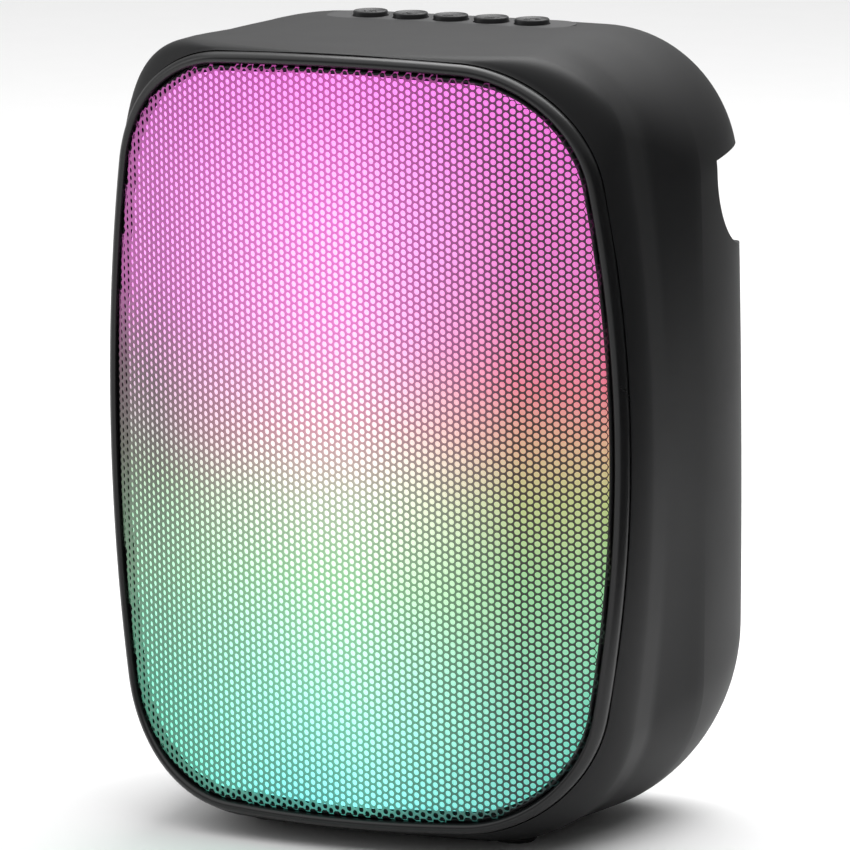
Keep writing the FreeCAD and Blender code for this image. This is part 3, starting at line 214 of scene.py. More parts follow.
def outline_at(depth, flare):
    """Sizes of the upper and the lower half outline. They open out from the mouth by the share flare; behind
    that the sides flatten towards the rear and all edges draw in along a quarter ellipse."""
    flatten = np.clip((depth - FLARE_END) / (ROUND_START - FLARE_END), 0, 1)
    bow = 1 / (1 / SHOULDER_BOW + (1 / REAR_BOW - 1 / SHOULDER_BOW) * flatten)
    share = 1 - np.cos(np.arcsin(np.clip((depth - ROUND_START) / (DEPTH - ROUND_START), 0, 1)))
    halves = []
    ease = np.clip((depth - SHOULDER) / (ROUND_START - SHOULDER), 0, 1)
    for height, drawn, corner, rear_corner in ((TOP, ROUND_TOP, UPPER_CORNER, UPPER_REAR_CORNER),
                                               (BOTTOM, ROUND_BOTTOM, LOWER_CORNER, LOWER_REAR_CORNER)):
        eased = corner + (rear_corner - corner) * ease - ROUND_SIDE * share / 2
        body = np.stack([HALF_WIDTH - ROUND_SIDE * share, height - drawn * share, eased,
                         bow, np.full_like(share, REAR_BOW)])
        start = (CREST + MOUTH_LIP).reshape(5, *[1] * share.ndim)
        halves.append(start + (body - start) * flare)
    return halves


def trace_both(upper, lower, turn):
    """The upper half outline where the normal leans up and the lower one where it leans down."""
    above, below = trace(upper, turn), trace(lower, turn)
    return np.where(turn < 0, below[0], above[0]), np.where(turn < 0, below[1], above[1])


middle_depth = np.arange(50.0, 74.0, 4.0)
panel_depth = np.arange(74.5, 98.1, 0.5)
scoop_extra = np.array([89.04, 89.16, 89.33])
rear_lean = np.radians(np.linspace(34.5, 90, 22))
rear_depth = ROUND_START + (DEPTH - ROUND_START) * np.sin(rear_lean)
body_depth = np.sort(np.concatenate([middle_depth, panel_depth, scoop_extra, rear_depth]))[:, None]
front_share = np.linspace(0, 1, 17)[:, None]    # the flare, from the mouth's edge back
upper, lower = outline_at(body_depth, 1.0)

scoop_depth = np.clip(body_depth, SCOOP_WALL, None)
past = np.clip(SCOOP_WALL + SCOOP_RADIUS - scoop_depth, 0, SCOOP_RADIUS)
floor_height = SCOOP_FLOOR + SCOOP_RADIUS - np.sqrt(SCOOP_RADIUS**2 - past**2)
lip_height = LIP_INNER + LIP_SLOPE * (scoop_depth - SCOOP_WALL)

_, _, low_turn, low_high_turn = corner_of(lower)
_, _, _, high_turn = corner_of(upper)
bottom_x, _ = trace(lower, -low_high_turn)
top_x, _ = trace(upper, high_turn)
_, corner_end = trace(lower, -low_turn)
steps = np.linspace(0, 1, 97)[None, :]
bottom_turn = -np.arccos(bottom_x * steps[:, ::6] / lower[4])
top_turn = np.arccos(top_x * (1 - steps) / upper[4])
corner_turn = blend_rows((-low_high_turn, -low_turn, 26))
side_heights = blend_rows((corner_end, floor_height, 30))
side_turn = np.where(side_heights < 0, turn_at(lower, side_heights), turn_at(upper, side_heights))
gap_turn = turn_at(upper, blend_rows((floor_height, lip_height, 5)))
lip_turn = turn_at(upper, lip_height)
upper_turn = blend_rows((lip_turn, high_turn, 24))
turns = np.hstack([bottom_turn[:, :-1], corner_turn, side_turn, gap_turn, upper_turn, top_turn])
FLOOR_COLUMN = bottom_turn.shape[1] - 1 + 26 + 30
LIP_COLUMN = FLOOR_COLUMN + 5
x, z = trace_both(upper, lower, turns)
body_rows = np.stack([x, body_depth + 0 * x, z], -1)

# The front rows run from the mouth's edge, set back behind the bent front, to the end of the flare, which is
# quickest along the top; the shoulder rows go on from there to the first straight section.
FLARE_LOW, FLARE_QUICKER, FLARE_FOLLOW, FLARE_CURVE = 24.0, 7.0, 0.75, 1.2
front_turn = turns[:1] + 0 * front_share
edge_x, _ = trace(CREST + MOUTH_LIP, front_turn)
edge_depth = dome(edge_x) + EDGE_SETBACK
upward = 0.5 + 0.5 * np.sin(front_turn)
flare_end = FLARE_LOW - FLARE_QUICKER * upward + FLARE_FOLLOW * (edge_depth - EDGE_SETBACK)
front_depth = edge_depth + (flare_end - edge_depth) * front_share
front_upper, front_lower = outline_at(front_depth, 1 - (1 - front_share) ** (FLARE_CURVE + upward))
fx, fz = trace_both(front_upper, front_lower, front_turn)
shoulder_share = np.linspace(0, 1, 8)[1:-1, None]
shoulder_depth = flare_end[:1] + (body_depth[0] - flare_end[:1]) * shoulder_share
shoulder_upper, shoulder_lower = outline_at(shoulder_depth, 1.0)
sx, sz = trace_both(shoulder_upper, shoulder_lower, turns[:1] + 0 * shoulder_share)
shoulder_rows = np.stack([sx, shoulder_depth, sz], -1)
front_rows = np.stack([fx, front_depth, fz], -1)

# The mouth's edge is broken by a small radius, then a short wall runs in beside the ring.
EDGE_RADIUS, MOUTH_WALL = 0.25, 4.4
roll_rows = []
for angle in np.radians([90, 60, 30]):
    rx, rz = trace(CREST + MOUTH_LIP - EDGE_RADIUS * math.sin(angle), turns[:1])
    roll_rows.append(np.stack([rx, dome(rx) + EDGE_SETBACK - EDGE_RADIUS * math.cos(angle), rz], -1))
wall_x, wall_z = trace(CREST + MOUTH_LIP - EDGE_RADIUS, turns[:1])
wall_rows = [np.stack([wall_x, dome(wall_x) + MOUTH_WALL, wall_z], -1)]
right_half = np.concatenate(wall_rows + roll_rows + [front_rows, shoulder_rows, body_rows])

# The button panel's recess: inside a stadium the top sinks, and points near its edge move onto the edge.
PANEL_ROW, PANEL_LENGTH, PANEL_WIDTH, RECESS = 87.0, 44.1, 10.1, 2.0
EDGE_BAND, TOP_ONLY = 0.34, 120.0
on_top = right_half[..., 2] > TOP_ONLY
sx = right_half[..., 0] - np.clip(right_half[..., 0], 0, PANEL_LENGTH - PANEL_WIDTH)
sy = right_half[..., 1] - PANEL_ROW
reach = np.maximum(np.hypot(sx, sy), 1e-6)
edge = reach - PANEL_WIDTH
near = on_top & (np.abs(edge) < EDGE_BAND)
right_half[..., 0] -= np.where(near, sx / reach * edge, 0)
right_half[..., 1] -= np.where(near, sy / reach * edge, 0)
right_half[..., 2] -= np.where(on_top & (edge < -EDGE_BAND), RECESS, 0)

# The left half mirrors the right one. The columns of the scoop's gap are left open behind its inner wall.
left_half = right_half[:, -2:0:-1] * [-1, 1, 1]
ring = np.concatenate([right_half, left_half], axis=1)
rows, columns = ring.shape[:2]
first_scoop = rows - len(body_depth) + int(np.searchsorted(body_depth[:, 0], SCOOP_WALL - 1e-6))
quads = sheet_faces(rows, columns, closed=True)
row_of, column_of = quads[:, 0] // columns, quads[:, 0] % columns
right_gap = (column_of >= FLOOR_COLUMN) & (column_of < LIP_COLUMN)
left_gap = (column_of >= columns - LIP_COLUMN) & (column_of < columns - FLOOR_COLUMN)
quads = quads[~((row_of >= first_scoop) & (right_gap | left_gap))]

points, faces = [ring.reshape(-1, 3)], [quads]


def add_grid(grid):
    """Joins one more grid of points, and its faces, to the skin."""
    count = sum(len(p) for p in points)
    points.append(grid.reshape(-1, 3))
    faces.append(sheet_faces(grid.shape[0], grid.shape[1], count))


# The scoop's floor, lip and inner wall run straight across from the right rim to the left one.
across = np.linspace(1, -1, 41)[None, :, None]
for column in (FLOOR_COLUMN, LIP_COLUMN):
    rim = right_half[first_scoop:, column][:, None, :]
    add_grid(rim * [0, 1, 1] + rim * [1, 0, 0] * across)
rim = right_half[first_scoop, FLOOR_COLUMN : LIP_COLUMN + 1][:, None, :]
add_grid(rim * [0, 1, 1] + rim * [1, 0, 0] * across)


def close_back(loop, hole):
    """Fills the flat back between a closed loop and a hole inside it, along rays from the hole's centre."""
    share = np.linspace(0, 1, 7)[:, None, None]
    add_grid(np.concatenate([loop[None] * (1 - share) + hole[None] * share], 0))


# The flat back is filled in two parts, below the scoop round the plate's opening and above the scoop.
floor_line = right_half[-1, FLOOR_COLUMN] * [0, 1, 1] + right_half[-1, FLOOR_COLUMN] * [1, 0, 0] * across[0]
lip_line = right_half[-1, LIP_COLUMN] * [0, 1, 1] + right_half[-1, LIP_COLUMN] * [1, 0, 0] * across[0]
lower_loop = np.vstack([right_half[-1, : FLOOR_COLUMN + 1], floor_line[1:-1],
                        right_half[-1, FLOOR_COLUMN::-1] * [-1, 1, 1]])
upper_loop = np.vstack([right_half[-1, LIP_COLUMN:], right_half[-1, -2 : LIP_COLUMN - 1 : -1] * [-1, 1, 1],
                        lip_line[::-1][1:]])
PLATE = np.array([52.1, 14.1, 4.1, 4000.0, 4000.0])
SOCKET_ROW, PLATE_SUNK = 52.0 - RING_CENTRE, 1.3
plate_turn = np.linspace(-np.pi / 2, np.pi / 2, 1441)
px, pz = trace(PLATE, plate_turn)
plate_edge = np.concatenate([np.stack([px, pz], 1), np.stack([-px, pz], 1)[::-1]])
bearing = np.arctan2(plate_edge[:, 1], plate_edge[:, 0])
order = np.argsort(bearing)
ray = np.arctan2(lower_loop[:, 2] - SOCKET_ROW, lower_loop[:, 0])
span = np.interp(ray, bearing[order], np.hypot(plate_edge[:, 0], plate_edge[:, 1])[order], period=2 * np.pi)
plate_hole = np.stack([span * np.cos(ray), np.full_like(ray, DEPTH), SOCKET_ROW + span * np.sin(ray)], 1)
close_back(lower_loop, plate_hole)
add_grid(np.stack([plate_hole, plate_hole - [0, PLATE_SUNK, 0]]))
upper_middle = upper_loop.mean(0) * [0, 1, 1] + 0 * upper_loop
close_back(upper_loop, upper_middle)

skin = make_mesh("cabinet_skin", upright(np.vstack(points)), faces, smooth=35, merge=1e-6)
shell_plastic = grained("shell_plastic", (0.005, 0.0051, 0.0056), 0.5, grain=0.5, depth=0.02, gleam=0.24)
dress(skin, shell_plastic)
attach(skin, "cabinet")
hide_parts("cabinet_shell", "rear_cover", "top_cover")

# ---------------------------------------------------------------- trim ring
# A separate glossier ABS ring, clipped into the mouth of the shell; its rounded bead stands 1.5 mm proud of
# the grille all round and follows the bend of the front.
bead = np.array([(1.6, 4.0), (1.6, 2.4), (1.6, 1.4), (1.54, 0.8), (1.35, 0.15), (1.0, -0.5), (0.5, -1.08),
                 (0.0, -1.4), (-0.55, -1.5), (-1.1, -1.3), (-1.6, -0.8), (-1.98, -0.1), (-2.2, 0.9),
                 (-2.2, 4.0)])      # out from the crest, behind the bent front
_, _, crest_low, crest_high = corner_of(CREST)
turn = blend_rows((-np.pi / 2, -crest_high, 40), (-crest_high, -crest_low, 60), (-crest_low, crest_low, 60),
                  (crest_low, crest_high, 60), (crest_high, np.pi / 2, 40))
turn = np.append(turn, np.pi / 2)[None, :]
bead_rows = []
for out, lift in bead:
    bx, bz = trace(CREST + out, turn)
    half = np.stack([bx, dome(bx) + lift, bz], -1)[0]
    bead_rows.append(np.vstack([half, half[-2:0:-1] * [-1, 1, 1]]))
bead_grid = np.stack(bead_rows)
bead_faces = sheet_faces(*bead_grid.shape[:2], closed=True)
trim = make_mesh("trim_ring", upright(bead_grid), [bead_faces], smooth=50)
dress(trim, grained("ring_plastic", (0.006, 0.006, 0.0065), 0.28, grain=0.8, depth=0.01, gleam=0.4))
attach(trim, "cabinet")
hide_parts("bezel_ring")

# ---------------------------------------------------------------- perforated grille
# Powder-coated 0.8 mm steel sheet punched with 2 mm round holes on a 2.5 mm hexagonal pitch, bent round
# upright axes to the front's curve and turned back at its rim behind the trim ring.
PITCH, HOLE, SHEET = 2.5, 1.0, 0.8
BORDER = CREST - 2.5
RIM_BEND, HOLE_MARGIN = 1.4, 0.55


def inside(x, z):
    """Distance in from the grille's border, from whichever of the eight arcs faces the point."""
    a, b, r, side, top = BORDER
    cx, cz, low_turn, high_turn = corner_of(BORDER)
    x, z = np.abs(x), np.abs(z)
    from_side = side - np.hypot(x - (a - side), z)
    from_top = top - np.hypot(x, z - (b - top))
    lean = np.arctan2(z - cz, x - cx)
    corner = (lean > low_turn) & (lean < high_turn) & (x > cx) & (z > cz)
    return np.where(corner, r - np.hypot(x - cx, z - cz), np.minimum(from_side, from_top))


def on_front(s, z, sink=0.0):
    """A point of the flat sheet, s across and z up, laid on the bent front: the same length along the crown
    arc and then the cheek arc. Within the rim bend it turns back along a quarter circle."""
    crown_run = CROWN * CROWN_LEAN
    side, run = np.sign(s), np.abs(s)
    angle = np.where(run < crown_run, run / CROWN, CROWN_LEAN + (run - crown_run) / CHEEK)
    x = np.where(run < crown_run, CROWN * np.sin(angle), CHEEK_CENTRE + CHEEK * np.sin(angle))
    left = np.clip(RIM_BEND - inside(x, z), 0, RIM_BEND)
    drop = RIM_BEND - np.sqrt(RIM_BEND**2 - left**2)
    back = dome(x)
    x_in = x - sink * np.sin(angle)
    return np.stack([side * x_in, back + drop + sink * np.cos(angle), z], -1)


columns_out = np.arange(-44, 45)
rows_out = np.arange(-52, 53)
ci, cj = np.meshgrid(columns_out, rows_out, indexing="ij")
centre_s = ci * PITCH * math.sqrt(3) / 2
centre_z = cj * PITCH + (ci % 2) * PITCH / 2
laid = on_front(centre_s, centre_z)
keep = inside(laid[..., 0], centre_z) > HOLE_MARGIN
centre_s, centre_z = centre_s[keep], centre_z[keep]
hex_turn = np.radians(np.arange(0, 360, 60))
hole_turn = np.radians(np.arange(0, 360, 30))
cell_s = np.concatenate([np.cos(hex_turn) * PITCH / math.sqrt(3), np.cos(hole_turn) * HOLE])
cell_z = np.concatenate([np.sin(hex_turn) * PITCH / math.sqrt(3), np.sin(hole_turn) * HOLE])
web = []
for k in range(6):
    here, there = k, (k + 1) % 6
    low, middle, high = 6 + 2 * k, 6 + 2 * k + 1, 6 + (2 * k + 2) % 12
    web += [(here, middle, low), (here, there, middle), (there, high, middle)]
wall = [(6 + k, 6 + (k + 1) % 12, 18 + (k + 1) % 12, 18 + k) for k in range(12)]
web, wall = np.array(web), np.array(wall)
mesh_bands = np.digitize(centre_z, [-42.0, 42.0])
grille_pieces = []
for band, word in enumerate(("lower", "middle", "upper")):
    s0, z0 = centre_s[mesh_bands == band][:, None], centre_z[mesh_bands == band][:, None]
    front = on_front(s0 + cell_s, z0 + cell_z)
    inner = on_front(s0 + cell_s[6:], z0 + cell_z[6:], SHEET)
    cells = np.concatenate([front, inner], axis=1)
    offsets = np.arange(len(cells))[:, None, None] * cells.shape[1]
    cell_faces = [(web[None] + offsets).reshape(-1, 3), (wall[None] + offsets).reshape(-1, 4)]
    grille_pieces.append(make_mesh("grille_" + word, upright(cells), cell_faces, smooth=30))

# A plain margin carries the sheet from the last holes round the rim bend.
margin = []
for depth_in, lift in ((1.0, None), (0.7, None), (0.35, None), (0.1, None), (0.0, 3.2)):
    mx, mz = trace(BORDER - depth_in, turn)
    left = np.clip(RIM_BEND - depth_in, 0, RIM_BEND)
    drop = RIM_BEND - math.sqrt(RIM_BEND**2 - left**2) + 0.12 if lift is None else lift
    half = np.stack([mx, dome(mx) + drop, mz], -1)[0]
    margin.append(np.vstack([half, half[-2:0:-1] * [-1, 1, 1]]))
margin = np.stack(margin)
rim_strip = make_mesh("grille_rim", upright(margin), [sheet_faces(*margin.shape[:2], closed=True)])
grille_pieces.append(rim_strip)
# The mesh's own black paint; further down it also gets a painted glow that stands in for spilled light.
mesh_paint_and_painted_glow = grained("mesh_paint_and_painted_glow", (0.006, 0.006, 0.0065), 0.38, grain=0.3, depth=0.01)
rim_paint = grained("rim_paint", (0.006, 0.006, 0.0065), 0.4, grain=0.3, depth=0.01)
for piece in grille_pieces:
    dress(piece, rim_paint if piece == rim_strip else mesh_paint_and_painted_glow)
    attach(piece, "cabinet")
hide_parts("speaker_grille")

# ---------------------------------------------------------------- lit diffuser
# A sheet of opal acrylic 4 mm behind the mesh, stood on posts above the lamp board; the lamps behind it fade
# from magenta at the top through white to green and cyan at the bottom.
DIFFUSER = CREST - 4.8
OPAL_DEPTH, END_SHY = 4.2, 0.05
heights = np.linspace(-1, 1, 161) * (DIFFUSER[1] - END_SHY)
edge_x, edge_z = trace(DIFFUSER, np.linspace(-np.pi / 2, np.pi / 2, 4001))
half_at = np.interp(heights, edge_z, edge_x)
dx = half_at[:, None] * np.linspace(-1, 1, 121)[None, :]
dz = np.repeat(heights[:, None], 121, axis=1)
opal_grid = np.stack([dx, dome(dx) + OPAL_DEPTH, dz], -1)
opal = make_mesh("diffuser", upright(opal_grid), [sheet_faces(*opal_grid.shape[:2])], smooth=0)

GLOW_FOOT, GLOW_HEAD, MOTTLE = 0.013, 0.253, 0.03       # heights in metres
RIGHT_FADE, LEFT_FADE = (0.005, 0.06), (-0.01, -0.07)   # metres from the middle


def glow(material, middle, right, left):
    """Adds light to a material: a colour by height down the middle, down the right edge and down the left
    edge, mixed by how far out the point is and mottled a little by the lamps."""
    tree = material.node_tree
    shader = tree.nodes["Principled BSDF"]
    link = tree.links.new
    place = tree.nodes.new("ShaderNodeTexCoord")
    parts = tree.nodes.new("ShaderNodeSeparateXYZ")
    link(place.outputs["Object"], parts.inputs["Vector"])
    wobble = tree.nodes.new("ShaderNodeTexNoise")
    wobble.inputs["Scale"].default_value = 14.0
    link(place.outputs["Object"], wobble.inputs["Vector"])
    wave = tree.nodes.new("ShaderNodeMath")
    wave.operation = "MULTIPLY_ADD"
    link(wobble.outputs["Fac"], wave.inputs[0])
    wave.inputs[1].default_value = MOTTLE
    link(parts.outputs["Z"], wave.inputs[2])

    def span(value, low, high):
        step = tree.nodes.new("ShaderNodeMapRange")
        link(value, step.inputs["Value"])
        step.inputs["From Min"].default_value = low
        step.inputs["From Max"].default_value = high
        return step.outputs["Result"]

    height = span(wave.outputs[0], GLOW_FOOT + MOTTLE / 2, GLOW_HEAD + MOTTLE / 2)

    def ramp(stops):
        step = tree.nodes.new("ShaderNodeValToRGB")
        link(height, step.inputs["Fac"])
        marks = step.color_ramp.elements
        while len(marks) < len(stops):
            marks.new(0.5)
        for mark, (position, colour) in zip(marks, stops):
            mark.position = position
            mark.color = (*colour, 1)
        return step.outputs["Color"]

    def mix(fac, a, b):
        step = tree.nodes.new("ShaderNodeMix")
        step.data_type = "RGBA"
        link(fac, step.inputs["Factor"])
        link(a, step.inputs["A"])
        link(b, step.inputs["B"])
        return step.outputs["Result"]

    to_right = mix(span(parts.outputs["X"], *RIGHT_FADE), ramp(middle), ramp(right))
    both = mix(span(parts.outputs["X"], *LEFT_FADE), to_right, ramp(left))
    link(both, shader.inputs["Emission Color"])
    shader.inputs["Emission Strength"].default_value = 1.0
    return material


OPAL_MIDDLE = [(0.0, (0.2, 0.95, 0.95)), (0.12, (0.42, 1.0, 0.92)), (0.3, (0.72, 1.0, 0.72)),
               (0.42, (0.95, 1.0, 0.85)), (0.52, (1.0, 0.78, 0.8)), (0.62, (1.0, 0.55, 0.85)),
               (0.78, (1.0, 0.5, 1.0)), (1.0, (1.0, 0.22, 0.9))]
OPAL_RIGHT = [(0.0, (0.04, 0.52, 0.45)), (0.14, (0.08, 0.58, 0.4)), (0.3, (0.18, 0.52, 0.18)),
              (0.42, (0.35, 0.42, 0.1)), (0.5, (0.55, 0.26, 0.12)), (0.6, (0.72, 0.08, 0.16)),
              (0.74, (0.72, 0.07, 0.46)), (1.0, (0.85, 0.08, 0.68))]
OPAL_LEFT = [(0.0, (0.12, 0.85, 0.6)), (0.14, (0.25, 0.92, 0.68)), (0.3, (0.4, 0.9, 0.6)),
             (0.42, (0.45, 0.68, 0.45)), (0.52, (0.6, 0.45, 0.55)), (0.64, (0.9, 0.3, 0.8)),
             (0.8, (1.0, 0.3, 0.95)), (1.0, (1.0, 0.25, 0.95))]
opal_acrylic = grained("opal_acrylic", (0.7, 0.7, 0.7), 0.5, depth=0.005)
dress(opal, glow(opal_acrylic, OPAL_MIDDLE, OPAL_RIGHT, OPAL_LEFT))

# Painted glow: emission on the mesh's black paint stands in for the lamps' light spilled round the holes'
# edges and for glare, most in the middle.
PAINTED_GLOW_MIDDLE = [(0.0, (0.06, 0.3, 0.25)), (0.12, (0.16, 0.52, 0.34)), (0.3, (0.28, 0.58, 0.31)),
                (0.42, (0.42, 0.48, 0.36)), (0.52, (0.62, 0.3, 0.38)), (0.66, (0.78, 0.2, 0.58)),
                (0.8, (0.78, 0.17, 0.6)), (1.0, (0.5, 0.08, 0.36))]
PAINTED_GLOW_RIGHT = [(0.0, (0.01, 0.03, 0.03)), (0.3, (0.02, 0.03, 0.02)), (0.5, (0.04, 0.02, 0.01)),
               (0.75, (0.05, 0.01, 0.035)), (1.0, (0.06, 0.01, 0.045))]
PAINTED_GLOW_LEFT = [(0.0, (0.05, 0.2, 0.14)), (0.14, (0.07, 0.26, 0.17)), (0.3, (0.13, 0.24, 0.15)),
              (0.45, (0.12, 0.12, 0.1)), (0.56, (0.15, 0.1, 0.12)), (0.7, (0.38, 0.1, 0.3)),
              (0.85, (0.42, 0.1, 0.33)), (1.0, (0.36, 0.07, 0.28))]
glow(mesh_paint_and_painted_glow, PAINTED_GLOW_MIDDLE, PAINTED_GLOW_RIGHT, PAINTED_GLOW_LEFT)
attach(opal, "cabinet")
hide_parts("light_diffuser")

# ---------------------------------------------------------------- buttons
# Five round moulded caps in a row on the top, each with a softened rim, a slightly dished face and a raised
# symbol; they press down on the switches of the board below.
BUTTON_ROW, BUTTON_PITCH = 87.0, 14.6
CAP_RADIUS, CAP_TOP, CAP_BASE = 5.7, TOP + 1.3, TOP - 1.3
CAP_EDGE, FACE_SUNK, FACE_DISH = 0.6, 0.32, 0.35
SYMBOL_RISE, SYMBOL_SLOPE = 0.3, 0.15


def bar(x, y, cx, cy, half_x, half_y):
    """How far a point lies outside an upright bar, negative inside."""
    return np.maximum(np.abs(x - cx) - half_x, np.abs(y - cy) - half_y)


def wedge(x, y, cx, side, size):
    """How far a point lies outside a triangle that points to side and is size high."""
    u = (x - cx) * side
    return np.maximum(-u - size * 0.5, (u + size * 0.5) * 0.5 + np.abs(y) - size * 0.62)


def power_symbol(x, y):
    """An upright bar, and a ring that is open where it crosses the bar."""
    ring_line = np.abs(np.hypot(x, y) - 2.0) - 0.32
    opening = -(np.abs(x) - 0.8) + 9 * (y < 0)
    return np.minimum(np.maximum(ring_line, opening), bar(x, y, 0, 1.6, 0.32, 1.2))


def play_symbol(x, y):
    """A triangle with two bars beside it."""
    bars = np.minimum(bar(x, y, 1.5, 0, 0.32, 1.6), bar(x, y, 2.6, 0, 0.32, 1.6))
    return np.minimum(wedge(x, y, -1.0, 1, 2.8), bars)


def light_symbol(x, y):
    """A dot in a ring that is cut into rays by a wave of the bearing."""
    rays = np.maximum(np.abs(np.hypot(x, y) - 2.4) - 0.45, 0.35 - np.abs(np.sin(4 * np.arctan2(y, x))))
    return np.minimum(np.hypot(x, y) - 1.1, rays)


SYMBOLS = {
    "power": power_symbol,
    "previous": lambda x, y: np.minimum(wedge(x, y, 0.5, -1, 2.8), bar(x, y, -2.0, 0, 0.35, 1.7)),
    "play": play_symbol,
    "next": lambda x, y: np.minimum(wedge(x, y, -0.5, 1, 2.8), bar(x, y, 2.0, 0, 0.35, 1.7)),
    "light": light_symbol,
}
button_plastic = grained("button_plastic", (0.012, 0.012, 0.013), 0.42, grain=0.4, depth=0.015, gleam=0.4)
around = np.linspace(0, 2 * np.pi, 121)[None, :-1]
for number, (word, symbol) in enumerate(SYMBOLS.items()):
    # The face is dished, and comes up to the rim along a steep eighth power; the symbol stands on it.
    flat = np.linspace(0.02, 1, 34)[:, None] * (CAP_RADIUS - CAP_EDGE)
    fx, fy = flat * np.cos(around), flat * np.sin(around)
    rise_by = np.clip(-symbol(fx, fy) / SYMBOL_SLOPE, 0, 1) * SYMBOL_RISE
    dish = FACE_DISH * (1 - (flat / CAP_RADIUS) ** 2)
    to_rim = FACE_SUNK * (flat / (CAP_RADIUS - CAP_EDGE)) ** 8
    face = np.stack([fx, fy, CAP_TOP - FACE_SUNK - dish + rise_by + to_rim], -1)
    lean = np.radians(np.linspace(0, 90, 7))[1:, None]
    rim_radius = CAP_RADIUS - CAP_EDGE + CAP_EDGE * np.sin(lean)
    rim_height = CAP_TOP - CAP_EDGE + CAP_EDGE * np.cos(lean) + 0 * around
    rim_edge = np.stack([rim_radius * np.cos(around), rim_radius * np.sin(around), rim_height], -1)
    skirt_base = CAP_BASE + 0 * around
    skirt = np.stack([CAP_RADIUS * np.cos(around), CAP_RADIUS * np.sin(around), skirt_base], -1)
    middle = face[:1] * [0, 0, 1]
    cap = np.concatenate([middle, face, rim_edge, skirt]) + [(number - 2) * BUTTON_PITCH, BUTTON_ROW, 0]
    button = make_mesh("cap_" + word, upright(cap), [sheet_faces(*cap.shape[:2], closed=True)], smooth=40)
    dress(button, button_plastic)
    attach(button, "button_" + word)
    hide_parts("button_" + word)

# ---------------------------------------------------------------- everything that keeps its first solid
# The panel, sockets, boards, driver, cells, screws, leads and feet keep their CAD solids and get finishes.
FINISHES = {
    "shell": shell_plastic,
    "frame_black": grained("frame_plastic", (0.012, 0.012, 0.013), 0.5),
    "opal": opal.data.materials[0],
    "circuit_board": grained("solder_resist", (0.01, 0.09, 0.035), 0.35, grain=0.6, depth=0.01),
    "led": grained("lamp_white", (0.8, 0.8, 0.74), 0.4),
    "baffle": grained("baffle_plastic", (0.02, 0.02, 0.02), 0.6),
    "screw": grained("zinc", (0.55, 0.56, 0.58), 0.32, metallic=1.0),
    "rubber": grained("foot_rubber", (0.012, 0.012, 0.012), 0.85, grain=0.6, depth=0.05),
    "basket": grained("basket_paint", (0.02, 0.02, 0.022), 0.4),
    "steel": grained("plated_steel", (0.5, 0.51, 0.52), 0.3, metallic=1.0),
    "magnet": grained("ferrite", (0.08, 0.08, 0.085), 0.55),
    "cone": grained("cone_paper", (0.02, 0.02, 0.022), 0.7, grain=0.9, depth=0.08),
    "coil": grained("copper_winding", (0.75, 0.32, 0.14), 0.35, metallic=1.0),
    "cloth": grained("dipped_cloth", (0.5, 0.34, 0.12), 0.75, grain=0.7, depth=0.1),
    "terminal": grained("tinned_brass", (0.75, 0.6, 0.32), 0.35, metallic=1.0),
    "socket": grained("nickel", (0.62, 0.62, 0.64), 0.25, metallic=1.0),
    "black_part": grained("moulded_black", (0.012, 0.012, 0.013), 0.4),
    "can": grained("sleeved_can", (0.35, 0.37, 0.4), 0.4, metallic=0.6),
    "wire": grained("wire_sleeve", (0.3, 0.02, 0.02), 0.5),
}
for part in frame["record"]["subparts"]:
    finish = FINISHES.get(part["material_slot"])
    if finish:
        dress(frame["nodes"][part["node"]], finish)

# ---------------------------------------------------------------- floor, light and camera
# A pale seamless floor, a wide ceiling of light with a smaller soft source below it, a weak one from the
# left and a dark flag on the right that keeps the floor's glare off the side, all neutral.


def card(name, corners, material):
    """One flat four-cornered sheet, given by its corners in metres."""
    mesh = bpy.data.meshes.new(name)
    mesh.from_pydata(corners, [], [(0, 1, 2, 3)])
    made = bpy.data.objects.new(name, mesh)
    bpy.context.scene.collection.objects.link(made)
    return dress(made, material)


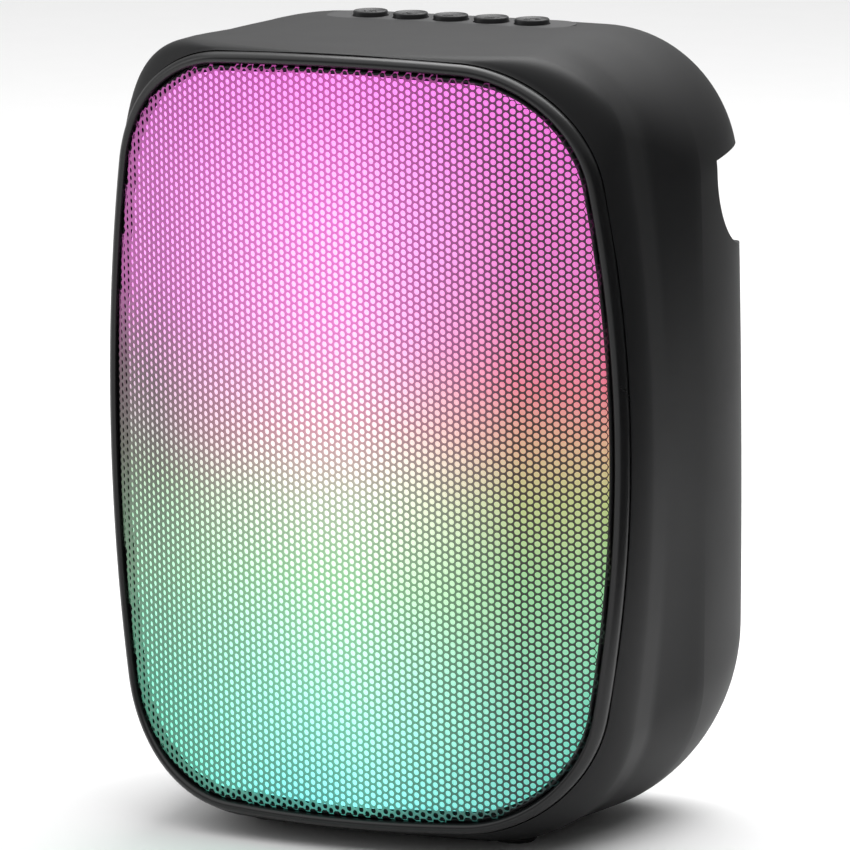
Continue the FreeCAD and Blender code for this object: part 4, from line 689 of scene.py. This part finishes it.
FLOOR_REACH = 30
floor_corners = [(-FLOOR_REACH, -FLOOR_REACH, 0), (FLOOR_REACH, -FLOOR_REACH, 0),
                 (FLOOR_REACH, FLOOR_REACH, 0), (-FLOOR_REACH, FLOOR_REACH, 0)]
floor = card("floor", floor_corners, grained("floor_paper", (0.93, 0.93, 0.93), 0.9, drift=0.01))

FLAG_X, FLAG_FRONT, FLAG_REAR, FLAG_HEIGHT = 0.36, -0.15, 1.2, 0.32
flag_corners = [(FLAG_X, FLAG_FRONT, 0), (FLAG_X, FLAG_REAR, 0),
                (FLAG_X, FLAG_REAR, FLAG_HEIGHT), (FLAG_X, FLAG_FRONT, FLAG_HEIGHT)]
flag = card("flag", flag_corners, grained("flag_cloth", (0.02, 0.02, 0.02), 0.95))

world = bpy.data.worlds.new("studio")
world.use_nodes = True
world.node_tree.nodes["Background"].inputs["Color"].default_value = (1, 1, 1, 1)
world.node_tree.nodes["Background"].inputs["Strength"].default_value = 0.42
bpy.context.scene.world = world


def softbox(name, place, target, width, height, power):
    """A rectangular soft light at a place, turned to face its target."""
    lamp = bpy.data.lights.new(name, "AREA")
    lamp.shape = "RECTANGLE"
    lamp.size, lamp.size_y = width, height
    lamp.energy = power
    box = bpy.data.objects.new(name, lamp)
    bpy.context.scene.collection.objects.link(box)
    aim = (Vector(target) - Vector(place)).normalized()
    box.matrix_world = Matrix.Translation(place) @ aim.to_track_quat("-Z", "Y").to_matrix().to_4x4()
    return box


softbox("ceiling", (0, 0, 3.0), (0, 0, 0), 6.0, 6.0, 110)
softbox("overhead", (0.1, 0.6, 1.2), (0, 0, 0.13), 1.4, 1.0, 16)
softbox("left", (-1.3, -0.5, 0.7), (0, 0, 0.13), 0.7, 1.0, 3)

camera_data = bpy.data.cameras.new("camera")
camera_data.lens = 365.2
camera_data.sensor_width = 36.0
camera_data.clip_end = 100.0
camera = bpy.data.objects.new("camera", camera_data)
right = Vector((0.8995, 0.4367, -0.0122))
up = Vector((-0.0675, 0.1665, 0.9837))
backward = Vector((0.4317, -0.8841, 0.1792))
turned_to = Matrix((right, up, backward)).transposed().to_4x4()
camera.matrix_world = Matrix.Translation((1.2143, -2.4814, 0.6330)) @ turned_to
bpy.context.scene.collection.objects.link(camera)
bpy.context.scene.camera = camera
bpy.context.scene.view_settings.view_transform = "Standard"
